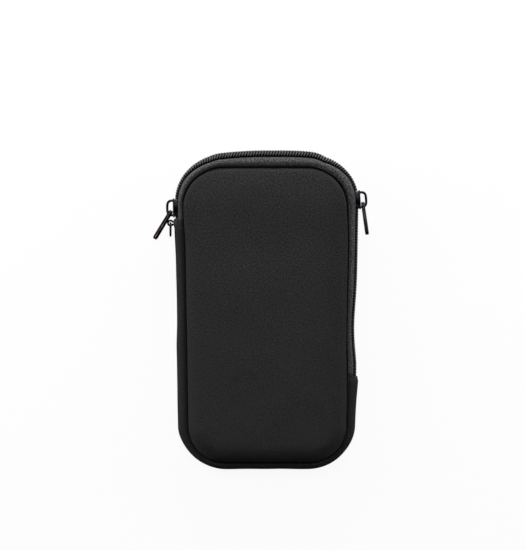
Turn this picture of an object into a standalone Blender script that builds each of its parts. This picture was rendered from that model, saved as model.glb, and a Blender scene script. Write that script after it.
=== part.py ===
"""A soft phone sleeve with a two-way zip, lying flat on its back.

+Y is the top of the sleeve, +Z comes out of its front panel and +X is to the right in the
front view. The origin is on the flat back, at the centre of the sleeve's outline. Lengths are
in metres.
"""

import math
from bisect import bisect_right

import bmesh
import bpy
from mathutils import Matrix, Vector

# The seam line where the two panels meet the band round their edge, in plan
SEAM_TOP_Y = 0.0732
SEAM_BOTTOM_Y = -0.0788
SEAM_TOP_HALF_WIDTH = 0.0426
SEAM_BOTTOM_HALF_WIDTH = 0.0401
SEAM_TOP_RADIUS = 0.0205
SEAM_BOTTOM_RADIUS = 0.0190

# Fabric
PANEL_THICKNESS = 0.0026
SEAM_GAP = 0.0003
SIDE_SEAM_HEIGHT = 0.0124
MOUTH_SEAM_LIFT = 0.0034
CROWN_RISE = 0.0048
CROWN_INSET = 0.0240
CROWN_POWER_SHARE = 4
MOUTH_LIFT_LENGTH = 0.0482
BACK_EDGE_LIFT = 0.0006
BACK_EDGE_INSET = 0.0015
SMALLEST_RADIUS = 0.0015
FRONT_RING_SHARES = (0.05, 0.13, 0.3, 0.58, 1.0)

# The neoprene band round the bottom and the lower sides
GUSSET_SIDE_BULGE = 0.0050
GUSSET_BOTTOM_BULGE = 0.0034
GUSSET_THICKNESS = 0.0026
GUSSET_ROUNDNESS_SHARE = 0.75
GUSSET_STEPS = 8

# Edge binding inside the seams
BINDING_WIDTH = 0.0029
BINDING_THICKNESS = 0.0009

# The zip: a tape and half a chain on each panel
ZIP_LEFT_TAIL = 0.0048
ZIP_RIGHT_END_RISE = 0.0430
TAPE_THICKNESS = 0.0006
TAPE_START_DEPTH = 0.0009
TAPE_SETBACK = 0.00125
TAPE_RISE = 0.0015
TAPE_ROOT_REACH = 0.0006
COIL_WIDTH = 0.0025
COIL_THICKNESS = 0.0016
CHAIN_GAP = 0.0003
CHAIN_REACH = 0.0049

# The open mouth between the two sliders
MOUTH_LINE_RISE = 0.0067
MOUTH_LINE_RADIUS = 0.0240
MOUTH_ARCH = 0.0022
FRONT_MOUTH_SPREAD = 0.0082
BACK_MOUTH_SPREAD = 0.0053
MOUTH_FLARE_LENGTH = 0.0320
MOUTH_COIL_ANGLE = math.radians(60)
CLOSED_COIL_ANGLE = math.radians(90)

# Sliders
SLIDER_LENGTH = 0.0098
SLIDER_PLAY = 0.0004
SLIDER_PLATE = 0.0008
SLIDER_INNER_HALF_WIDTH = 0.0034
SLIDER_CORNER = 0.0004
FLANGE_THICKNESS = 0.0007
POST_HALF_WIDTH = 0.0009
POST_LENGTH = 0.0032
POST_END_GAP = 0.0006
RIGHT_SLIDER_RISE = 0.0042

# Bridges
BRIDGE_LENGTH = 0.0088
BRIDGE_HEIGHT = 0.0036
BRIDGE_WIRE = 0.0013
BRIDGE_WIDTH = 0.0020
BRIDGE_RADIUS = 0.0018

# Pulls
PULL_LENGTH = 0.0163
PULL_WIDTH = 0.0044
PULL_THICKNESS = 0.0016
PULL_END_RADIUS = 0.0020
PULL_EYE_START = 0.0005
PULL_EYE_END = 0.0048
PULL_EYE_WIDTH = 0.0027
PULL_HOLE_RADIUS = 0.0008
PULL_HOLE_INSET = 0.0022
PULL_PLACE = 0.0020
LEFT_PULL_ANGLE = math.radians(31)
RIGHT_PULL_ANGLE = math.radians(8)

# The small loop and ring at the zip's left end, and the thread bars at both ends
LOOP_WIDTH = 0.0024
LOOP_RIBBON = 0.0007
LOOP_HOLE_RADIUS = 0.0010
LOOP_RISE = 0.0019
LOOP_STAND_OFF = 0.0026
RING_RADIUS = 0.0035
RING_WIRE_RADIUS = 0.0005
BARTACK_LENGTH = 0.0060
BARTACK_WIDTH = 0.0012
BARTACK_THICKNESS = 0.0006

# Overrun of every cut past the faces that it goes through
CUT_OVERRUN = 0.0010

# Counts of steps
SIDE_STEPS = 5
CORNER_STEPS = 8
END_STEPS = 4
TAPE_STEPS = 5
BRIDGE_CORNER_STEPS = 4
LOOP_STEPS = 12
RING_STEPS = 20
WIRE_SIDES = 8
ROUND_SIDES = 16
OUTLINE_SAMPLES = 24

UP = Vector((0, 0, 1))


def smooth(share):
    """Ease from 0 to 1 with level ends."""
    share = min(max(share, 0), 1)
    return share * share * (3 - 2 * share)


def blend(low, high, share):
    """The value that lies a share of the way from low to high."""
    return low + (high - low) * share


class Route:
    """A closed outline of four straight runs and four round corners, walked clockwise.

    It starts at the bottom centre, goes up the left side, over the top and down the right side.
    """

    def __init__(self, top_half, bottom_half, top_y, bottom_y, top_radius, bottom_radius):
        """Work out the runs from the half widths, heights and corner radii."""
        start = Vector((0, bottom_y))
        corners = (
            (Vector((-bottom_half, bottom_y)), bottom_radius),
            (Vector((-top_half, top_y)), top_radius),
            (Vector((top_half, top_y)), top_radius),
            (Vector((bottom_half, bottom_y)), bottom_radius),
        )
        after = [corner for corner, _ in corners[1:]] + [start]
        self.runs = []
        place = start
        for (corner, radius), following in zip(corners, after):
            inward = (corner - place).normalized()
            onward = (following - corner).normalized()
            turn = inward.angle(onward)
            arc_start = corner - inward * radius * math.tan(turn / 2)
            centre = arc_start + Vector((inward.y, -inward.x)) * radius
            self.runs.append(("line", place, inward, (arc_start - place).length))
            self.runs.append(("arc", centre, arc_start - centre, radius * turn))
            place = corner + onward * radius * math.tan(turn / 2)
        self.runs.append(("line", place, (start - place).normalized(), (start - place).length))
        self.starts = [0]
        for run in self.runs:
            self.starts.append(self.starts[-1] + run[3])

    def at(self, distance):
        """The point and the outward direction at a distance along the route."""
        index = min(max(bisect_right(self.starts, distance) - 1, 0), len(self.runs) - 1)
        kind, origin, direction, _ = self.runs[index]
        along = distance - self.starts[index]
        if kind == "line":
            return origin + direction * along, Vector((-direction.y, direction.x))
        radial = direction.copy()
        radial.rotate(Matrix.Rotation(-along / direction.length, 2))
        return origin + radial, radial.normalized()

    def height_on(self, index, y):
        """The distance at which the straight run with this index reaches a height."""
        _, origin, direction, _ = self.runs[index]
        return self.starts[index] + (y - origin.y) / direction.y

    def samples(self):
        """Points and outward directions round the whole route, corners finely."""
        counts = (1, CORNER_STEPS, SIDE_STEPS, CORNER_STEPS, END_STEPS)
        counts = counts + (CORNER_STEPS, SIDE_STEPS, CORNER_STEPS, 1)
        found = []
        for start, run, count in zip(self.starts, self.runs, counts):
            found += [self.at(start + run[3] * step / count) for step in range(count)]
        return found

    def inward_gap(self, point, outward):
        """How far a point outside the route is from it, going straight back inward."""
        total = self.starts[-1]
        count = OUTLINE_SAMPLES * len(self.runs)
        best = None
        for step in range(count):
            first = self.at(total * step / count)[0] - point
            second = self.at(total * (step + 1) / count)[0] - point
            side_one = first.cross(outward)
            side_two = second.cross(outward)
            if side_one * side_two > 0 or side_one == side_two:
                continue
            crossing = first + (second - first) * (side_one / (side_one - side_two))
            gap = -crossing.dot(outward)
            if gap > 0 and (best is None or gap < best):
                best = gap
        return best


def seam_route(inset=0):
    """The seam line, or a line that lies a distance inside it."""
    return Route(
        SEAM_TOP_HALF_WIDTH - inset,
        SEAM_BOTTOM_HALF_WIDTH - inset,
        SEAM_TOP_Y - inset,
        SEAM_BOTTOM_Y + inset,
        max(SEAM_TOP_RADIUS - inset, SMALLEST_RADIUS),
        max(SEAM_BOTTOM_RADIUS - inset, SMALLEST_RADIUS),
    )


SEAM = seam_route()
TEETH_LINE = Route(
    SEAM_TOP_HALF_WIDTH + CHAIN_REACH + MOUTH_LINE_RISE
    * (SEAM_TOP_HALF_WIDTH - SEAM_BOTTOM_HALF_WIDTH) / (SEAM_TOP_Y - SEAM_BOTTOM_Y),
    SEAM_BOTTOM_HALF_WIDTH + CHAIN_REACH,
    SEAM_TOP_Y + MOUTH_LINE_RISE,
    SEAM_BOTTOM_Y,
    MOUTH_LINE_RADIUS,
    SMALLEST_RADIUS,
)
LEFT_SIDE, LEFT_CORNER, TOP_RUN, RIGHT_CORNER, RIGHT_SIDE = range(2, 7)

# The zip's middle plane, halfway between the two seams
MID_HEIGHT = BACK_EDGE_LIFT + SIDE_SEAM_HEIGHT / 2

# Heights of the chain's parts above the seam line, going outward
TAPE_REACH = CHAIN_REACH - COIL_THICKNESS - CHAIN_GAP - TAPE_THICKNESS / 2
PLATE_REACH = CHAIN_REACH + SLIDER_PLAY
PLATE_TOP = PLATE_REACH + SLIDER_PLATE

# Places along the teeth line
LEFT_SLIDER_Y = SEAM.at(SEAM.starts[LEFT_CORNER])[0].y
ZIP_LEFT_END_Y = LEFT_SLIDER_Y - SLIDER_LENGTH / 2 - ZIP_LEFT_TAIL
ZIP_RIGHT_END_Y = SEAM_BOTTOM_Y + ZIP_RIGHT_END_RISE
LEFT_SLIDER_AT = TEETH_LINE.height_on(LEFT_SIDE, LEFT_SLIDER_Y)
RIGHT_SLIDER_AT = TEETH_LINE.height_on(RIGHT_SIDE, LEFT_SLIDER_Y) - RIGHT_SLIDER_RISE
ZIP_START = TEETH_LINE.height_on(LEFT_SIDE, ZIP_LEFT_END_Y)
ZIP_END = TEETH_LINE.height_on(RIGHT_SIDE, ZIP_RIGHT_END_Y)


def seam_height(y):
    """Height of the front seam, which the open mouth lifts towards the top."""
    lift = smooth(1 - (SEAM_TOP_Y - y) / MOUTH_LIFT_LENGTH)
    return SIDE_SEAM_HEIGHT + MOUTH_SEAM_LIFT * lift


def front_height(inset, y):
    """Height of the front panel's outer face, rolled at the edge and crowned in the middle."""
    level = 1 - (1 - min(inset / CROWN_INSET, 1)) ** CROWN_POWER_SHARE
    return blend(seam_height(y), SIDE_SEAM_HEIGHT + CROWN_RISE, level)


def finish(name, mesh_data, material, smooth_angle=None):
    """Make an object from a bmesh, with its faces pointing out, and give it its material."""
    bmesh.ops.recalc_face_normals(mesh_data, faces=mesh_data.faces[:])
    mesh = bpy.data.meshes.new(name)
    mesh_data.to_mesh(mesh)
    mesh_data.free()
    if smooth_angle is not None:
        mesh.shade_smooth()
        mesh.set_sharp_from_angle(angle=smooth_angle)
    item = bpy.data.objects.new(name, mesh)
    bpy.context.scene.collection.objects.link(item)
    mesh.materials.append(material)
    return item


def loft(sections, closed=False):
    """Skin a row of sections that have the same number of points."""
    shape = bmesh.new()
    rows = [[shape.verts.new(point) for point in section] for section in sections]
    pairs = list(zip(rows, rows[1:]))
    if closed:
        pairs.append((rows[-1], rows[0]))
    for first, second in pairs:
        for step, vertex in enumerate(first):
            after = (step + 1) % len(first)
            shape.faces.new((vertex, first[after], second[after], second[step]))
    if not closed:
        shape.faces.new(rows[0])
        shape.faces.new(rows[-1])
    return shape


def prism(outline, depth):
    """Extrude an outline in X and Y equally to both sides in Z."""
    levels = (-depth / 2, depth / 2)
    return loft([[Vector((x, y, level)) for x, y in outline] for level in levels])


def rounded_strip(length, half_width, radius, steps):
    """The outline of a strip from y = 0 down to y = -length, with rounded corners at its far end."""
    outline = [(-half_width, 0), (half_width, 0)]
    for side, first in ((1, 0), (-1, 1)):
        for step in range(steps + 1):
            angle = math.pi / 2 * (first + step / steps)
            across = side * (half_width - radius) + radius * math.cos(angle)
            outline.append((across, -(length - radius) - radius * math.sin(angle)))
    return outline


def make_material(name, colour, roughness, metallic=0.0):
    """A plain Principled finish."""
    material = bpy.data.materials.new(name)
    material.use_nodes = True
    shader = material.node_tree.nodes["Principled BSDF"]
    shader.inputs["Base Color"].default_value = (*colour, 1)
    shader.inputs["Roughness"].default_value = roughness
    shader.inputs["Metallic"].default_value = metallic
    material.diffuse_color = (*colour, 1)
    return material


def combine(item, helper, operation):
    """Join a hidden helper to an object, or cut it away."""
    helper.hide_render = True
    helper.display_type = "WIRE"
    change = item.modifiers.new(helper.name, "BOOLEAN")
    change.operation = operation
    change.solver = "EXACT"
    change.object = helper


def stitch_outline(inset, height):
    """A ring of points on the seam line's inset copy, each at its own height."""
    return [
        Vector((point.x, point.y, height(point.y)))
        for point, _ in seam_route(inset).samples()
    ]


def make_front_panel(material):
    """The crowned front panel, whose edges roll down to the seam."""
    edge = SEAM_GAP / 2
    insets = [edge] + [CROWN_INSET * share for share in FRONT_RING_SHARES]
    rings = []
    for inset in reversed(insets):
        rings.append(stitch_outline(inset, lambda y: front_height(inset, y) - PANEL_THICKNESS))
    for inset in insets:
        rings.append(stitch_outline(inset, lambda y: front_height(inset, y)))
    return finish("front_panel", loft(rings), material, math.radians(50))


def make_back_panel(material):
    """The flat back panel, with its lower edge lifted a little off the table."""
    edge = SEAM_GAP / 2
    rings = (
        stitch_outline(BACK_EDGE_INSET, lambda y: 0),
        stitch_outline(edge, lambda y: BACK_EDGE_LIFT),
        stitch_outline(edge, lambda y: PANEL_THICKNESS),
    )
    return finish("back_panel", loft(rings), material, math.radians(50))


def gusset_section(point, outward):
    """One cut through the band: a C that bulges outward between the two seams."""
    bulge = blend(GUSSET_SIDE_BULGE, GUSSET_BOTTOM_BULGE, smooth(-outward.y))
    root = SEAM_GAP / 2
    top = seam_height(point.y)
    outer = []
    inner = []
    for step in range(GUSSET_STEPS + 1):
        angle = math.pi * step / GUSSET_STEPS
        fullness = max(math.sin(angle), 0) ** GUSSET_ROUNDNESS_SHARE
        level = (1 - math.cos(angle)) / 2
        outer.append((blend(root, bulge, fullness), blend(BACK_EDGE_LIFT, top, level)))
        low = PANEL_THICKNESS
        high = top - PANEL_THICKNESS
        inner.append((blend(root, bulge - GUSSET_THICKNESS, fullness), blend(low, high, level)))
    return [
        (point + outward * reach).to_3d() + UP * height
        for reach, height in outer + inner[::-1]
    ]


def make_gusset(material):
    """The band from the zip's right end down and round the bottom to its left end."""
    right = SEAM.height_on(RIGHT_SIDE, ZIP_RIGHT_END_Y - SEAM_GAP)
    left = SEAM.height_on(LEFT_SIDE, ZIP_LEFT_END_Y - SEAM_GAP)
    total = SEAM.starts[-1]
    corner_left = SEAM.starts[1:3]
    corner_right = [place - total for place in SEAM.starts[7:9]]
    marks = [right - total, corner_right[0], corner_right[1], corner_left[0], corner_left[1], left]
    counts = (2, CORNER_STEPS, 2, CORNER_STEPS, SIDE_STEPS)
    places = [marks[0]]
    for first, second, count in zip(marks, marks[1:], counts):
        places += [blend(first, second, (step + 1) / count) for step in range(count)]
    sections = [gusset_section(*SEAM.at(place % total)) for place in places]
    return finish("side_gusset", loft(sections), material, math.radians(50))


def make_binding(name, material, low_height):
    """A flat tape inside a seam, all the way round."""
    sections = []
    for point, outward in SEAM.samples():
        outer = point - outward * SEAM_GAP
        inner = outer - outward * BINDING_WIDTH
        low = low_height(point.y)
        high = low + BINDING_THICKNESS
        corners = ((outer, low), (outer, high), (inner, high), (inner, low))
        sections.append([place.to_3d() + UP * height for place, height in corners])
    return finish(name, loft(sections, closed=True), material)


def make_bindings(material):
    """The bindings of the front and the back seam."""
    drop = PANEL_THICKNESS + SEAM_GAP + BINDING_THICKNESS
    make_binding("binding_front", material, lambda y: seam_height(y) - drop)
    make_binding("binding_back", material, lambda y: PANEL_THICKNESS + SEAM_GAP)


class ZipStation:
    """One cut through the zip: where its seam is and how far the mouth is open there."""

    def __init__(self, distance):
        """Measure the zip at a distance along the teeth line."""
        point, self.outward = TEETH_LINE.at(distance)
        arch_half = TEETH_LINE.at(TEETH_LINE.starts[RIGHT_CORNER])[0].x
        self.reach = SEAM.inward_gap(point, self.outward)
        self.seam = point - self.outward * self.reach
        if point.y > SEAM_TOP_Y:
            self.reach += MOUTH_ARCH * max(1 - (point.x / arch_half) ** 2, 0)
        ahead = min(distance - LEFT_SLIDER_AT, RIGHT_SLIDER_AT - distance)
        half = SLIDER_LENGTH / 2
        self.parting = smooth((ahead + half) / half) * (POST_HALF_WIDTH + CHAIN_GAP)
        self.opening = smooth((ahead - half) / MOUTH_FLARE_LENGTH)

    def frame(self, side):
        """The coil's root, and the directions along its width and out of its face."""
        angle = blend(CLOSED_COIL_ANGLE, MOUTH_COIL_ANGLE, self.opening)
        along = Vector((math.cos(angle), -math.sin(angle)))
        face = Vector((math.sin(angle), math.cos(angle)))
        stack = TAPE_THICKNESS / 2 + CHAIN_GAP + COIL_THICKNESS
        closed = CHAIN_GAP / 2 + COIL_WIDTH + self.parting
        spread = FRONT_MOUTH_SPREAD if side > 0 else BACK_MOUTH_SPREAD
        root_reach = self.reach - COIL_WIDTH * along.x - stack * face.x
        return Vector((root_reach, blend(closed, spread, self.opening))), along, face

    def place(self, reach_and_rise, side):
        """The point at a reach out from the seam and a rise from the zip's middle plane."""
        reach, rise = reach_and_rise
        return (self.seam + self.outward * reach).to_3d() + UP * (MID_HEIGHT + side * rise)

    def tape(self, side):
        """The tape's section, from the seam out to under the coil."""
        root, along, _ = self.frame(side)
        if side > 0:
            start_rise = seam_height(self.seam.y) - TAPE_START_DEPTH - MID_HEIGHT
        else:
            start_rise = MID_HEIGHT - BACK_EDGE_LIFT - TAPE_START_DEPTH
        start = Vector((SEAM_GAP / 2 + TAPE_THICKNESS / 2, start_rise))
        first = start + Vector((TAPE_ROOT_REACH, TAPE_RISE))
        second = root - along * TAPE_RISE
        line = []
        for step in range(TAPE_STEPS + 1):
            share = step / TAPE_STEPS
            rest = 1 - share
            line.append(
                start * rest**3 + first * 3 * rest**2 * share
                + second * 3 * rest * share**2 + root * share**3
            )
        line.append(root + along * (COIL_WIDTH - TAPE_SETBACK))
        return [self.place(spot, side) for spot in thicken(line, TAPE_THICKNESS / 2)]

    def coil(self, side):
        """The coil's section: a block that stands on the tape's outer face."""
        root, along, face = self.frame(side)
        low = TAPE_THICKNESS / 2 + CHAIN_GAP
        high = low + COIL_THICKNESS
        tip = root + along * COIL_WIDTH
        spots = (root + face * low, root + face * high, tip + face * high, tip + face * low)
        return [self.place(spot, side) for spot in spots]


def thicken(line, half):
    """The closed outline of a flat line of points, given thickness to both sides."""
    left = []
    right = []
    for step, spot in enumerate(line):
        before = line[max(step - 1, 0)]
        after = line[min(step + 1, len(line) - 1)]
        direction = (after - before).normalized()
        normal = Vector((-direction.y, direction.x))
        left.append(spot + normal * half)
        right.append(spot - normal * half)
    return left + right[::-1]


def zip_stations():
    """Stations along the whole zip, close together where the tapes part."""
    half = SLIDER_LENGTH / 2
    flare = MOUTH_FLARE_LENGTH
    marks = (
        (ZIP_START, 1),
        (LEFT_SLIDER_AT - half, 4),
        (LEFT_SLIDER_AT + half, 12),
        (LEFT_SLIDER_AT + half + flare, 6),
        (RIGHT_SLIDER_AT - half - flare, 12),
        (RIGHT_SLIDER_AT - half, 4),
        (RIGHT_SLIDER_AT + half, SIDE_STEPS + 1),
        (ZIP_END, 1),
    )
    places = []
    for (first, count), (second, _) in zip(marks, marks[1:]):
        places += [blend(first, second, step / count) for step in range(count)]
    return [ZipStation(place) for place in places + [ZIP_END]]


def make_zip(tape_material, coil_material):
    """Both tapes with their halves of the chain."""
    stations = zip_stations()
    for side, word in ((1, "front"), (-1, "back")):
        tape = loft([station.tape(side) for station in stations])
        finish("tape_" + word, tape, tape_material, math.radians(50))
        coil = loft([station.coil(side) for station in stations])
        finish("coil_" + word, coil, coil_material)


def make_empty(name, place, parent=None):
    """An empty at a place, for pieces that move together."""
    empty = bpy.data.objects.new(name, None)
    bpy.context.scene.collection.objects.link(empty)
    empty.matrix_world = place
    if parent is not None:
        empty.parent = parent
        empty.matrix_parent_inverse = parent.matrix_world.inverted()
    return empty


def mount_on(item, parent, place):
    """Parent an object to an empty and set where it sits in the empty's frame."""
    item.parent = parent
    item.matrix_local = place


def slider_frame(distance, leftward):
    """The frame of a slider: X out of the sleeve, Y towards the mouth, origin on the seam line."""
    before, middle, after = (
        TEETH_LINE.at(distance + step * SLIDER_LENGTH / 2)[0] for step in (-1, 0, 1)
    )
    along = (after - before).normalized()
    out = Vector((-along.y, along.x))
    origin = middle.lerp(before.lerp(after, 1 / 2), 1 / 2) - out * CHAIN_REACH
    along = along.to_3d() if leftward else -along.to_3d()
    out = out.to_3d()
    axes = Matrix((out, along, out.cross(along))).transposed().to_4x4()
    return Matrix.Translation(origin.to_3d() + UP * MID_HEIGHT) @ axes


def channel_half_widths():
    """The slider's outer half width at its narrow end and at its wide end."""
    narrow = CHAIN_GAP / 2 + COIL_WIDTH + SLIDER_PLAY + FLANGE_THICKNESS
    return narrow, narrow + POST_HALF_WIDTH + CHAIN_GAP


def slider_body(name, frame, material):
    """A slider body: a flanged outer plate and an inner plate, held together by the post."""
    narrow, wide = channel_half_widths()
    half = SLIDER_LENGTH / 2
    flange_low = TAPE_REACH + TAPE_THICKNESS / 2 + SLIDER_PLAY
    sections = []
    plan = (
        (-half, narrow, SLIDER_CORNER),
        (-half + SLIDER_CORNER, narrow, 0),
        (0, wide, 0),
        (half - SLIDER_CORNER, wide, 0),
        (half, wide, SLIDER_CORNER),
    )
    for along, width, trim in plan:
        outer = width - trim
        inner = width - FLANGE_THICKNESS
        corners = (
            (flange_low, -outer), (PLATE_TOP, -outer), (PLATE_TOP, outer), (flange_low, outer),
            (flange_low, inner), (PLATE_REACH, inner), (PLATE_REACH, -inner), (flange_low, -inner),
        )
        sections.append([Vector((reach, along, across)) for reach, across in corners])
    body = finish(name, loft(sections), material)
    mount_on(body, frame, Matrix.Identity(4))

    inner_top = TAPE_REACH - TAPE_THICKNESS / 2 - SLIDER_PLAY
    edge = SLIDER_INNER_HALF_WIDTH
    inner_plate = []
    for along, outer in (
        (-half, edge - SLIDER_CORNER), (-half + SLIDER_CORNER, edge),
        (half - SLIDER_CORNER, edge), (half, edge - SLIDER_CORNER),
    ):
        corners = (
            (inner_top - SLIDER_PLATE, -outer), (inner_top, -outer),
            (inner_top, outer), (inner_top - SLIDER_PLATE, outer),
        )
        inner_plate.append([Vector((reach, along, across)) for reach, across in corners])
    plate = finish(name + "_inner_plate", loft(inner_plate), material)
    mount_on(plate, frame, Matrix.Identity(4))
    add_post(body, name, frame, material, inner_top)
    combine(body, plate, "UNION")


def add_post(body, name, frame, material, inner_top):
    """Join on the wedge between the two plates, which parts the chain."""
    front = SLIDER_LENGTH / 2 - POST_END_GAP
    back = front - POST_LENGTH
    low = inner_top - SLIDER_PLATE / 2
    high = PLATE_REACH + SLIDER_PLATE / 2
    plan = (
        (back, 0), (back + POST_HALF_WIDTH, POST_HALF_WIDTH),
        (front, POST_HALF_WIDTH), (front, -POST_HALF_WIDTH),
        (back + POST_HALF_WIDTH, -POST_HALF_WIDTH),
    )
    levels = [[Vector((reach, y, z)) for y, z in plan] for reach in (low, high)]
    post = finish(name + "_post", loft(levels), material)
    mount_on(post, frame, Matrix.Identity(4))
    combine(body, post, "UNION")


def slider_bridge(name, frame, material):
    """The wire bridge that the pull hangs on, standing on the outer plate."""
    half = BRIDGE_LENGTH / 2 - BRIDGE_WIRE / 2
    foot = PLATE_TOP + SEAM_GAP
    top = PLATE_TOP + BRIDGE_HEIGHT - BRIDGE_WIRE / 2
    line = [Vector((foot, -half))]
    for side in (-1, 1):
        for step in range(BRIDGE_CORNER_STEPS + 1):
            share = step / BRIDGE_CORNER_STEPS
            angle = math.pi / 2 * (share if side < 0 else 1 - share)
            reach = top - BRIDGE_RADIUS * (1 - math.sin(angle))
            line.append(Vector((reach, side * (half - BRIDGE_RADIUS * (1 - math.cos(angle))))))
    line.append(Vector((foot, half)))
    sections = []
    for step, spot in enumerate(line):
        before = line[max(step - 1, 0)]
        after = line[min(step + 1, len(line) - 1)]
        direction = (after - before).normalized()
        normal = Vector((-direction.y, direction.x)) * BRIDGE_WIRE / 2
        sides = ((1, 1), (1, -1), (-1, -1), (-1, 1))
        sections.append([
            (spot + normal * along).to_3d() + UP * across * BRIDGE_WIDTH / 2
            for along, across in sides
        ])
    bridge = finish(name, loft(sections), material, math.radians(40))
    mount_on(bridge, frame, Matrix.Identity(4))


def pull_tab(name, frame, material, turn):
    """A flat pull with a round bar at its eye; its origin is on the bar's axis."""
    outline = rounded_strip(PULL_LENGTH, PULL_WIDTH / 2, PULL_END_RADIUS, BRIDGE_CORNER_STEPS)
    tab = finish(name, prism(outline, PULL_THICKNESS), material)
    bar = bmesh.new()
    bmesh.ops.create_cone(
        bar, cap_ends=True, segments=ROUND_SIDES, radius1=PULL_THICKNESS / 2,
        radius2=PULL_THICKNESS / 2, depth=PULL_WIDTH, matrix=Matrix.Rotation(math.pi / 2, 4, "Y"),
    )
    bar = finish(name + "_bar", bar, material)
    eye_half = PULL_EYE_WIDTH / 2
    eye_outline = (
        (-eye_half, -PULL_EYE_START), (eye_half, -PULL_EYE_START),
        (eye_half, -PULL_EYE_END), (-eye_half, -PULL_EYE_END),
    )
    eye = finish(name + "_eye", prism(eye_outline, PULL_THICKNESS + CUT_OVERRUN), material)
    hole = bmesh.new()
    bmesh.ops.create_cone(
        hole, cap_ends=True, segments=ROUND_SIDES, radius1=PULL_HOLE_RADIUS,
        radius2=PULL_HOLE_RADIUS, depth=PULL_THICKNESS + CUT_OVERRUN,
        matrix=Matrix.Translation((0, PULL_HOLE_INSET - PULL_LENGTH, 0)),
    )
    hole = finish(name + "_hole", hole, material)
    combine(tab, bar, "UNION")
    combine(tab, eye, "DIFFERENCE")
    combine(tab, hole, "DIFFERENCE")
    reach = PLATE_TOP + (BRIDGE_HEIGHT - BRIDGE_WIRE) / 2
    pivot = Matrix.Translation((reach, -PULL_PLACE, 0))
    tilt = Matrix.Rotation(turn, 4, "Z")
    on_edge = Matrix.Rotation(math.pi / 2, 4, "Y")
    mount_on(tab, frame, pivot @ tilt @ on_edge)
    for helper in (bar, eye, hole):
        mount_on(helper, frame, pivot @ tilt @ on_edge)


def make_slider(word, distance, pull_angle, material, pull_material, parent):
    """A slider with its bridge and its pull, in the frame of its place on the chain."""
    leftward = word == "left"
    place = slider_frame(distance, leftward)
    frame = make_empty("slider_frame_" + word, place, parent)
    slider_body("slider_" + word, frame, material)
    slider_bridge("bridge_" + word, frame, material)
    upward = place.col[1]
    lean = math.atan2(upward.x if leftward else -upward.x, upward.y)
    pull_tab("pull_" + word, frame, pull_material, pull_angle - lean)


def make_strap_loop(material):
    """A ribbon loop that leaves the sleeve between the zip's end and the band."""
    centre = loop_centre()
    radius = LOOP_HOLE_RADIUS + LOOP_RIBBON / 2
    leg = LOOP_RIBBON / 2 + SEAM_GAP / 2
    first = math.asin(leg / radius)
    root = centre.x + LOOP_STAND_OFF - SEAM_GAP
    line = [Vector((root, centre.y + leg))]
    for step in range(LOOP_STEPS + 1):
        angle = blend(first, 2 * math.pi - first, step / LOOP_STEPS)
        line.append(centre + Vector((math.cos(angle), math.sin(angle))) * radius)
    line.append(Vector((root, centre.y - leg)))
    levels = (MID_HEIGHT - LOOP_WIDTH / 2, MID_HEIGHT + LOOP_WIDTH / 2)
    outline = thicken(line, LOOP_RIBBON / 2)
    sections = [[spot.to_3d() + UP * level for spot in outline] for level in levels]
    finish("strap_loop", loft(sections), material)


def loop_centre():
    """The centre of the loop's hole, in plan, which the ring's top wire goes through."""
    station = ZipStation(ZIP_START)
    edge = station.seam + station.outward * CHAIN_REACH
    return Vector((edge.x - LOOP_STAND_OFF, ZIP_LEFT_END_Y + LOOP_RISE))


def make_strap_ring(material):
    """A wire ring that hangs in the loop, seen on edge from the front."""
    wire = []
    for step in range(RING_STEPS):
        turn = 2 * math.pi * step / RING_STEPS
        around = Vector((0, math.cos(turn), math.sin(turn)))
        section = []
        for side in range(WIRE_SIDES):
            angle = 2 * math.pi * side / WIRE_SIDES
            reach = RING_RADIUS + RING_WIRE_RADIUS * math.cos(angle)
            section.append(around * reach + Vector((RING_WIRE_RADIUS * math.sin(angle), 0, 0)))
        wire.append(section)
    shift = Vector((0, -RING_RADIUS, 0))
    wire = [[spot + shift for spot in section] for section in wire]
    ring = finish("strap_ring", loft(wire, closed=True), material, math.radians(60))
    ring.location = loop_centre().to_3d() + UP * MID_HEIGHT


def make_bartack(name, distance, material):
    """A bar of thread across the end of the chain."""
    station = ZipStation(distance)
    out = station.outward
    along = Vector((-out.y, out.x))
    root = station.seam + out * (max(CHAIN_REACH, GUSSET_SIDE_BULGE) + SEAM_GAP)
    sections = []
    half = BARTACK_LENGTH / 2
    inset = BARTACK_THICKNESS / 2
    for level, trim in ((-half, inset), (-half + inset, 0), (half - inset, 0), (half, inset)):
        width = BARTACK_WIDTH / 2 - trim / 2
        top = root + out * (BARTACK_THICKNESS - trim)
        corners = (root - along * width, top - along * width, top + along * width, root + along * width)
        sections.append([spot.to_3d() + UP * (MID_HEIGHT + level) for spot in corners])
    finish(name, loft(sections), material)


def clear_scene():
    """Remove whatever the scene holds."""
    for item in list(bpy.data.objects):
        bpy.data.objects.remove(item, do_unlink=True)


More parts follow.
